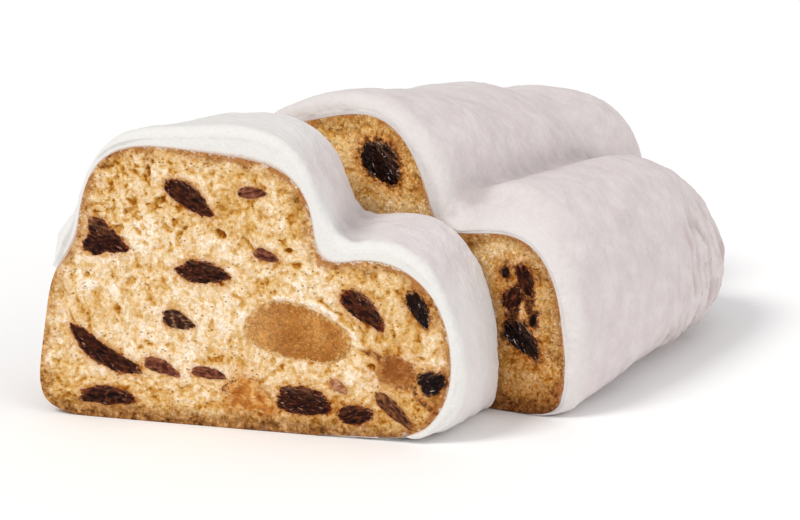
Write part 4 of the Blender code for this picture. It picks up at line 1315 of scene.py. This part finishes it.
def sugar_material(name, low, middle, high, rim, pale, cut_share):
    n = Nodes(name)
    cloud = n.noise(6.0, 3.0, 0.55)
    powder = n.noise(0.9, 4.0, 0.75, offset=4.0)
    fine = n.noise(0.35, 2.0, 0.6, offset=6.0)
    tone = n.math("ADD", n.math("MULTIPLY", cloud, 0.6), n.math("MULTIPLY", powder, 0.4))
    colour = n.ramp(tone, ((0.30, low), (0.50, middle), (0.70, high)))
    # dents and thin places, where the crust warms the sugar from below
    thin = n.span(n.noise(4.2, 4.0, 0.65, stretch=(1.2, 1.2, 0.42), offset=8.0), 0.50, 0.66, 0.0, 1.0)
    thin = n.math("MULTIPLY", thin, n.span(n.attribute("lumpy"), 0.1, 1.0, 0.0, 0.60), clamp=True)
    colour = n.mix(thin, colour, (0.53, 0.41, 0.38))
    dent = n.math("MULTIPLY", n.attribute("dent"), n.span(powder, 0.3, 0.7, 0.45, 0.80, "LINEAR"), clamp=True)
    colour = n.mix(dent, colour, (0.43, 0.34, 0.315))
    spot = n.span(n.noise(2.6, 3.0, 0.6, stretch=(1, 1, 0.6), offset=31.0), 0.60, 0.68, 0.0, 1.0)
    low_end = n.math("MULTIPLY", n.attribute("lumpy"), n.span(n.attribute("rise"), 6.0, 40.0, 0.7, 0.06), clamp=True)
    colour = n.mix(n.math("MULTIPLY", spot, low_end, clamp=True), colour, (0.30, 0.16, 0.09))
    foot = n.span(n.attribute("rise"), 0.3, 4.0, 0.5, 0.0)
    foot = n.math("MULTIPLY", foot, n.span(n.noise(2.0, 4.0, 0.7, offset=2.0), 0.48, 0.66, 0.0, 1.0), clamp=True)
    colour = n.mix(foot, colour, (0.48, 0.33, 0.23))
    # whiter where it was cut, with a soft change to the handled outside
    cut = n.mix(n.span(powder, 0.35, 0.65), tuple(0.95 * c for c in rim), rim)
    fresh = n.attribute("fresh")
    ragged = n.noise(3.0, 4.0, 0.7, offset=12.0)
    # the pale attribute whitens the sugar: painted light on the slice's crown, outer side, crease and left side; on the
    # loaf, along its crest and its shoulder by the cut
    colour = n.mix(n.attribute("pale"), colour, pale)
    colour = n.mix(n.span(n.attribute("pale"), 1.0, 2.0), colour, (0.93, 0.92, 0.91))
    # painted shade: darker sugar in the crease between hump and fold, fading out near the cut
    fold = n.math("MULTIPLY", n.attribute("valley"), n.span(cloud, 0.3, 0.7, 0.55, 1.0, "LINEAR"), clamp=True)
    fold = n.math("MULTIPLY", fold, n.span(fresh, 0.0, 0.7, 1.0, 0.0), clamp=True)
    colour = n.mix(fold, colour, tuple(0.74 * c for c in low))
    white = n.span(n.math("ADD", fresh, n.span(ragged, 0.3, 0.7, -0.22, 0.22, "LINEAR")), 0.05, 1.0, 0.0, cut_share)
    colour = n.mix(white, colour, cut)
    meet = n.span(n.math("ADD", fresh, n.span(powder, 0.3, 0.7, -0.10, 0.10, "LINEAR")), 1.72, 2.02, 0.0, 0.8)
    colour = n.mix(meet, colour, (0.60, 0.40, 0.28))
    normal = n.bump(powder, 0.32, 0.65, n.bump(fine, 0.08, 0.6))
    return n.finish(colour, 0.95, normal, specular_ior_level=0.2)


RAISIN_LOOKS = {
    # (in the folds, on the skin, on ridges), roughness; the fold colour is partly painted shade, the ridge colour
    # partly painted highlight
    "dark": (((0.008, 0.0006, 0.0002), (0.036, 0.0066, 0.0018), (0.145, 0.038, 0.012)), 0.34),
    "black": (((0.003, 0.0005, 0.0003), (0.008, 0.0018, 0.0009), (0.040, 0.011, 0.005)), 0.22),
    "red": (((0.060, 0.012, 0.006), (0.17, 0.048, 0.024), (0.36, 0.14, 0.070)), 0.45),
    "brown": (((0.040, 0.011, 0.004), (0.13, 0.040, 0.016), (0.30, 0.12, 0.045)), 0.42),
    "pale": (((0.27, 0.10, 0.045), (0.46, 0.21, 0.11), (0.62, 0.36, 0.20)), 0.5),
    "crumbed": (((0.02, 0.005, 0.003), (0.07, 0.022, 0.012), (0.46, 0.27, 0.12)), 0.5),
}


def raisin_material(kind):
    (dark, skin, light), rough = RAISIN_LOOKS[kind]
    n = Nodes("raisin_" + kind)
    n.made.use_backface_culling = False
    place = n.across_piece()
    drawn = n.noise(1.7, 4.0, 0.68, stretch=(0.42, 1.25, 1), distortion=0.6, at=place)
    mottle = n.noise(2.6, 4.0, 0.65, distortion=0.8, offset=4.0)
    fine = n.noise(0.5, 3.0, 0.65, offset=3.0)
    # darker in the folds and lighter on the ridges, partly painted shade and highlight, mixed with the skin's own
    # streaks and mottle
    tone = n.math("ADD", n.math("MULTIPLY", n.attribute("folds"), 0.30), n.math("MULTIPLY", drawn, 0.30))
    tone = n.math("ADD", tone, n.math("MULTIPLY", mottle, 0.40))
    colour = n.ramp(tone, ((0.38, dark), (0.53, skin), (0.70, light)))
    # the torn edge: reddish skin, then crumbs drawn over it in streaks
    warm = n.math("MULTIPLY", n.span(n.attribute("rim"), 0.80, 1.0), 0.6)
    blush = (2.8, 1.5, 0.9) if kind in ("dark", "black") else (1.15, 1.0, 0.9)
    colour = n.mix(warm, colour, n.mix(1.0, colour, blush, "MULTIPLY"))
    streaks = n.noise(1.5, 4.0, 0.75, stretch=(0.55, 1.6, 1), offset=9.0, at=place)
    crumbs = n.math("ADD", n.attribute("rim"), n.span(streaks, 0.3, 0.7, -0.26, 0.26, "LINEAR"))
    colour = n.mix(n.span(crumbs, 0.96, 1.10, 0.0, 0.85), colour, (0.40, 0.18, 0.065))
    # crumb dust on the upper side
    upper = n.span(n.attribute("crosswise"), 0.4, 3.4, 0.0, 0.30)
    colour = n.mix(n.math("MULTIPLY", upper, n.span(streaks, 0.44, 0.62), clamp=True), colour, (0.42, 0.21, 0.11))
    # painted glints: bright specks standing in for highlights on the skin
    painted_glint = n.span(n.noise(0.8, 2.0, 0.55, stretch=(0.55, 1.2, 1), offset=8.0, distortion=1.0, at=place), 0.60, 0.68, 0.0, 0.9)
    painted_glint = n.math("MULTIPLY", painted_glint, n.span(n.noise(3.0, 2.0, 0.5, offset=13.0), 0.46, 0.58), clamp=True)
    glint_colour = (0.62, 0.52, 0.50) if kind == "black" else (0.38, 0.19, 0.12)
    colour = n.mix(painted_glint, colour, glint_colour)
    gloss = n.span(fine, 0.35, 0.65, rough - 0.12, rough + 0.22, "LINEAR")
    normal = n.bump(fine, 0.16, 0.7, n.bump(drawn, 0.45, 0.7))
    return n.finish(colour, gloss, normal, specular_ior_level=0.085)


def peel_material(kind):
    n = Nodes("candied_peel_" + kind)
    cells = n.noise(3.6, 3.0, 0.55, distortion=0.9)
    fine = n.noise(0.7, 3.0, 0.6, offset=3.0)
    tone = n.math("ADD", n.math("MULTIPLY", cells, 0.8), n.math("MULTIPLY", fine, 0.2))
    if kind == "amber":
        stops = ((0.36, (0.175, 0.041, 0.003)), (0.50, (0.295, 0.088, 0.010)), (0.66, (0.48, 0.210, 0.050)))
        into = (0.55, 0.29, 0.095)
    else:
        stops = ((0.36, (0.34, 0.090, 0.004)), (0.50, (0.52, 0.195, 0.030)), (0.66, (0.76, 0.430, 0.155)))
        into = (0.70, 0.42, 0.15)
    colour = n.ramp(tone, stops)
    # towards its edge it is soaked into the crumb, without a line
    crumbs = n.math("ADD", n.attribute("rim"), n.span(n.noise(2.8, 4.0, 0.75, offset=9.0), 0.3, 0.7, -0.42, 0.42, "LINEAR"))
    colour = n.mix(n.span(crumbs, 0.74, 1.12, 0.0, 0.75), colour, into)
    colour = n.scale(colour, n.span(fine, 0.3, 0.7, 0.88, 1.12, "LINEAR"))
    normal = n.bump(fine, 0.12, 0.6, n.bump(cells, 0.4, 0.6))
    return n.finish(colour, n.span(fine, 0.3, 0.7, 0.3, 0.55, "LINEAR"), normal, specular_ior_level=0.2)


def marzipan_material():
    n = Nodes("marzipan")
    cloud = n.noise(8.0, 2.0, 0.5, distortion=0.3)
    grain = n.noise(0.9, 4.0, 0.7, offset=2.0)
    speck = n.noise(0.45, 2.0, 0.6, offset=5.0)
    tone = n.math("ADD", n.math("MULTIPLY", cloud, 0.55), n.math("MULTIPLY", grain, 0.45))
    colour = n.ramp(tone, (
        (0.36, (0.300, 0.092, 0.006)),
        (0.50, (0.415, 0.155, 0.023)),
        (0.62, (0.560, 0.260, 0.062)),
    ))
    colour = n.mix(n.span(n.attribute("along"), 0.0, 0.55, 0.42, 0.0), colour, (0.66, 0.36, 0.125))
    colour = n.mix(n.span(speck, 0.60, 0.72, 0.0, 0.6), colour, (0.74, 0.49, 0.24))
    colour = n.mix(n.span(speck, 0.40, 0.28, 0.0, 0.6), colour, (0.25, 0.075, 0.010))
    crumbs = n.math("ADD", n.attribute("level"), n.span(n.noise(1.8, 4.0, 0.7, offset=9.0), 0.3, 0.7, -0.20, 0.20, "LINEAR"))
    colour = n.mix(n.span(crumbs, 0.90, 1.02, 0.0, 0.85), colour, (0.72, 0.46, 0.19))
    colour = n.scale(colour, n.span(n.noise(0.55, 3.0, 0.7, offset=21.0), 0.32, 0.68, 0.70, 1.30, "LINEAR"))
    colour = n.scale(colour, n.span(n.noise(1.6, 3.0, 0.65, offset=25.0), 0.32, 0.68, 0.86, 1.14, "LINEAR"))
    normal = n.bump(grain, 0.42, 0.9, n.bump(speck, 0.12, 0.6))
    return n.finish(colour, n.span(grain, 0.3, 0.7, 0.45, 0.7, "LINEAR"), normal, specular_ior_level=0.2)


# ------------------------------------------------------------------ build


def face_setup(pips, marzipan, number_from=1, marz_seed=0, soak=1.0, drawn=()):
    """Pockets for what sits in a cut, and where syrup soaks the crumb; drawn are streaks of syrup."""
    pockets, stains = [], []
    for number, entry in enumerate(drawn, 90):
        stains.append((pip_outline(entry, 0.0, number), 1.3, 1.12) if entry[7] == "smear" else (pip_outline(entry, 0.0, number), 0.7, 0.84))
    for number, entry in enumerate(pips, number_from):
        pockets.append((lambda grow, e=entry, k=number: pip_outline(e, grow, k), 1.6))
        kind = entry[7]
        strength = {"black": 0.85, "dark": 0.75, "amber": 0.62, "orange": 0.6}.get(kind, 0.5)
        strength = min(strength * (1.1 if soak > 1 else 1.0), 1.0)
        length = {"orange": 2.6, "amber": 2.4, "black": 1.5}.get(kind, 1.2)
        stains.append((pip_outline(entry, 0.0, number), length * soak, strength))
    pockets.append((lambda grow: marzipan_outline(marzipan, grow, 110, marz_seed), 1.2))
    stains.append((marzipan_outline(marzipan, 0.0, 110, marz_seed), 0.7, 0.45))
    return pockets, stains


def main():
    crumb = crumb_material("stollen_crumb", 0.0, 1.05, 0.70)
    # a darker copy of the crumb for the loaf's cut: painted shade, as that cut lies in the slice's shadow
    loaf_crumb = crumb_material("stollen_crumb_of_loaf", 0.105, 1.75, 0.35)
    sugar = sugar_material(
        "powdered_sugar", (0.655, 0.59, 0.585), (0.72, 0.66, 0.655), (0.785, 0.74, 0.73), (0.80, 0.785, 0.755), (0.755, 0.735, 0.715), 1.0
    )
    loaf_sugar = sugar_material(
        "powdered_sugar_of_loaf", (0.615, 0.545, 0.54), (0.68, 0.61, 0.605), (0.745, 0.69, 0.68), (0.75, 0.71, 0.69), (0.755, 0.725, 0.71), 0.8
    )
    marzipan = marzipan_material()
    raisins = {kind: raisin_material(kind) for kind in RAISIN_LOOKS}
    peel = {kind: peel_material(kind) for kind in ("amber", "orange")}

    def slice_crumb_at(y):
        return between(SLICE_CRUMB_FRONT, SLICE_CRUMB_BACK, min(max(y / SLICE_DEPTH, 0), 1))

    def slice_coat_at(y):
        return between(SLICE_COAT_FRONT, SLICE_COAT_BACK, min(max(y / SLICE_DEPTH, 0), 1))

    def hollow_front(x, z):
        """The crumb is more open in the hump and coarser low down."""
        return smooth((z - 40) / 14) * smooth((-4 - x) / 14) + 0.25

    def slice_painted_light(p):
        """Painted light: whiter sugar on the hump's crown and the fold's outer side, in the crease by the cut, and
        nearly white up the left side.
        """
        crown = smooth((p[:, 2] - 64) / 10) * smooth((22 - p[:, 0]) / 14)
        side = 0.6 * smooth((p[:, 0] - 46) / 10) * smooth((44 - p[:, 2]) / 10)
        crease = np.exp(-(((p[:, 0] - 21) / 9) ** 2 + ((p[:, 2] - 53) / 9) ** 2)) * smooth((13 - p[:, 1]) / 8)
        return np.clip(crown + side + crease, 0, 1) + 1.0 * smooth((-34 - p[:, 0]) / 7) + 0.7 * crease

    def loaf_pale(p):
        """White along the hump's crest and on the fold's shoulder next to the cut."""
        crest = 0.35 * smooth((p[:, 2] + HUMP_FALL * p[:, 1] - 72) / 8) * smooth((6 - p[:, 0]) / 12)
        shoulder = 0.25 * np.exp(-(((p[:, 0] - 40) / 16) ** 2 + ((p[:, 1] - 10) / 14) ** 2)) * smooth((p[:, 2] - 34) / 8)
        return np.clip(crest + shoulder, 0, 1)

    def shade_front(x, z):
        """Palest left of the middle, more golden towards the fold and the top."""
        pale = np.exp(-(((x + 20) / 22) ** 2 + ((z - 36) / 20) ** 2))
        above_paste = np.exp(-(((x - 16) / 14) ** 2 + ((z - 40) / 6) ** 2))
        right_of_top = np.exp(-(((x - 8) / 12) ** 2 + ((z - 54) / 9) ** 2))
        out = 0.05 * pale + 0.06 * above_paste - 0.14 * right_of_top - 0.17 * smooth((16 - z) / 8)
        return out - 0.07 * smooth((x - 14) / 20) - 0.10 * smooth((z - 52) / 14)

    # the slice
    pockets, stains = face_setup(SLICE_RAISINS + SLICE_PEEL, SLICE_MARZIPAN, 1, marz_seed=1, drawn=SLICE_STREAKS)
    back_pockets, back_stains = face_setup(SLICE_BACK_RAISINS, SLICE_MARZIPAN, 31, marz_seed=1)
    depth_rows = np.concatenate([[0.35, 0.8, 1.5, 2.4], np.linspace(3.6, 28.4, 20), [29.6, 30.5, 31.2, 31.65, SLICE_DEPTH - 0.08]])
    build_bread(
        "slice_crumb_detail", "slice_crumb", slice_crumb_at, lambda y: CENTRE_X, depth_rows, 0.36,
        {"pockets": pockets, "stains": stains, "hollow": hollow_front, "shade": shade_front, "marks": SLICE_MARKS},
        {"pockets": back_pockets, "stains": back_stains, "hollow": hollow_front, "spacing": 0.62},
        slice_to_row, [crumb], 1,
    )
    build_coat(
        "slice_sugar_coat_detail", "slice_sugar_coat", slice_coat_at, slice_crumb_at, lambda y: CENTRE_X,
        lambda y: COAT_LEFT, SLICE_DEPTH, 400, 0.5, True, slice_to_row, [sugar], 1,
        lambda p: 0.25 * smooth((14 - p[:, 2]) / 12), slice_painted_light, SLICE_LUMPS,
    )
    build_marzipan(
        "slice_marzipan_detail", "slice_marzipan", SLICE_MARZIPAN,
        [(2.0, 1.0, 0.0), (SLICE_DEPTH / 2, 1.0, 0.0), (SLICE_DEPTH - 2.0, 1.0, 0.0)],
        slice_to_row, [marzipan], 1, True,
    )
    for number, entry in enumerate(SLICE_RAISINS, 1):
        build_pip(f"slice_raisin_{number:02d}_detail", f"slice_raisin_{number:02d}", entry, number, 0.0, 1, slice_to_row, [raisins[entry[7]]], "raisin")
    for number, entry in enumerate(SLICE_PEEL, 1):
        build_pip(
            f"slice_peel_{number:02d}_detail", f"slice_peel_{number:02d}", entry, number + len(SLICE_RAISINS), 0.0, 1,
            slice_to_row, [peel[entry[7]]], "peel", 0.2, 0.3,
        )
    for number, entry in enumerate(SLICE_BACK_RAISINS, 1):
        build_pip(
            f"slice_back_raisin_{number:02d}_detail", f"slice_back_raisin_{number:02d}", entry, number + 30, SLICE_DEPTH, -1,
            slice_to_row, [raisins[entry[7]]], "raisin",
        )

    # the loaf
    short = COAT_AT_END
    loaf_pockets, loaf_stains = face_setup(LOAF_RAISINS, LOAF_MARZIPAN, 51, marz_seed=2, soak=2.1, drawn=LOAF_STREAKS)
    far = last_row(short)
    depth_rows = np.concatenate([[0.35, 0.9, 1.8, 3.2], np.linspace(5.0, far * 0.62, 18), far * (0.62 + 0.38 * np.sin(np.linspace(0, np.pi / 2, 14)[1:]))])
    # the loaf's shade map is painted light and shade: its tone raised high in the hump, clear of the slice's shadow,
    # and lowered low down, in that shadow
    build_bread(
        "loaf_crumb_detail", "loaf_crumb", lambda t: loaf_section(t, LOAF_CRUMB, short), loaf_centre, depth_rows, 0.42,
        {"pockets": loaf_pockets, "stains": loaf_stains, "hollow": lambda x, z: 0.2 + 0.8 * smooth((z - 48) / 8), "shade": lambda x, z: 0.17 * smooth((z - 46) / 10) - 0.36 * smooth((24 - z) / 18), "crust": 5.0}, None,
        loaf_to_row, [loaf_crumb], 7, tip=(-12.0, LOAF_END["body"] - short, 3.2),
    )

    def left_at(t):
        return COAT_LEFT + (179.65 - COAT_LEFT) * float(smooth(t / COAT_WRAP))

    def lumpy(p):
        """Streaked and dimpled towards the far end and low on the sides."""
        side = smooth((p[:, 0] - 22) / 16) * smooth((46 - p[:, 2]) / 14)
        return np.clip(side * smooth((p[:, 1] - 38) / 52) + 0.4 * smooth((12 - p[:, 2]) / 10) * smooth(p[:, 1] / 20), 0, 1)

    near = short - 0.3
    build_coat(
        "loaf_sugar_coat_detail", "loaf_sugar_coat", lambda t: loaf_section(t, LOAF_COAT), lambda t: loaf_section(t, LOAF_CRUMB, near),
        loaf_centre, left_at, last_row(), 330, 0.68, False, loaf_to_row, [loaf_sugar], 5, lumpy, loaf_pale, LOAF_LUMPS,
        tip=[(-12.0, LOAF_END["body"], 3.6), (-12.0, LOAF_END["body"] - near, 3.4)],
        end_out=last_row(), end_in=last_row(near), round_over=6.0, round_share=0.82,
    )
    end = 118.0
    run = [(2.0, 1.0), (end * 0.33, 1.0), (end * 0.6, 0.92), (end * 0.85, 0.72), (end * 0.97, 0.46), (end - 0.3, 0.2)]
    build_marzipan(
        "loaf_marzipan_detail", "loaf_marzipan", LOAF_MARZIPAN, [(y, s, -0.0009 * y * y) for y, s in run],
        loaf_to_row, [marzipan], 2, False,
    )
    for number, entry in enumerate(LOAF_RAISINS, 1):
        build_pip(
            f"loaf_raisin_{number:02d}_detail", f"loaf_raisin_{number:02d}", entry, number + 50, 0.0, 1,
            loaf_to_row, [raisins[entry[7]]], "raisin", 0.9 if number == 1 else 0.4,
        )


# ------------------------------------------------------------------ stage


def sun_light(name, towards, power, spread, colour=(1, 1, 1)):
    """A wide, far light; towards points from the bread to the light."""
    data = bpy.data.lights.new(name, "SUN")
    data.angle = math.radians(spread)
    data.energy = power
    data.color = colour
    obj = bpy.data.objects.new(name, data)
    obj.location = Vector(towards).normalized() * 2.0
    obj.rotation_euler = (-Vector(towards)).to_track_quat("-Z", "Y").to_euler()
    bpy.context.scene.collection.objects.link(obj)
    return obj


def add_stage():
    mesh = bpy.data.meshes.new("floor")
    half = 4.0
    mesh.from_pydata([(-half, -half, 0), (half, -half, 0), (half, half, 0), (-half, half, 0)], [], [(0, 1, 2, 3)])
    floor = bpy.data.objects.new("floor", mesh)
    floor.location.z = -0.00005
    bpy.context.scene.collection.objects.link(floor)
    made = bpy.data.materials.new("floor_white")
    made.use_nodes = True
    shader = made.node_tree.nodes["Principled BSDF"]
    shader.inputs["Base Color"].default_value = (0.97, 0.97, 0.97, 1)
    shader.inputs["Roughness"].default_value = 0.9
    shader.inputs["Specular IOR Level"].default_value = 0.1
    mesh.materials.append(made)
    world = bpy.data.worlds.new("studio")
    world.use_nodes = True
    world.node_tree.nodes["Background"].inputs["Color"].default_value = (0.99, 0.99, 1.0, 1)
    world.node_tree.nodes["Background"].inputs["Strength"].default_value = 0.64
    bpy.context.scene.world = world
    sun_light("key", (-0.60, -0.74, 1.15), 1.45, 20.0, (1.0, 0.985, 0.955))
    sun_light("fill", (1.0, -0.40, 0.35), 0.85, 60.0, (1.0, 0.985, 0.98))
    bpy.context.scene.view_settings.view_transform = "Standard"
    bpy.context.scene.view_settings.look = "None"


main()
add_stage()
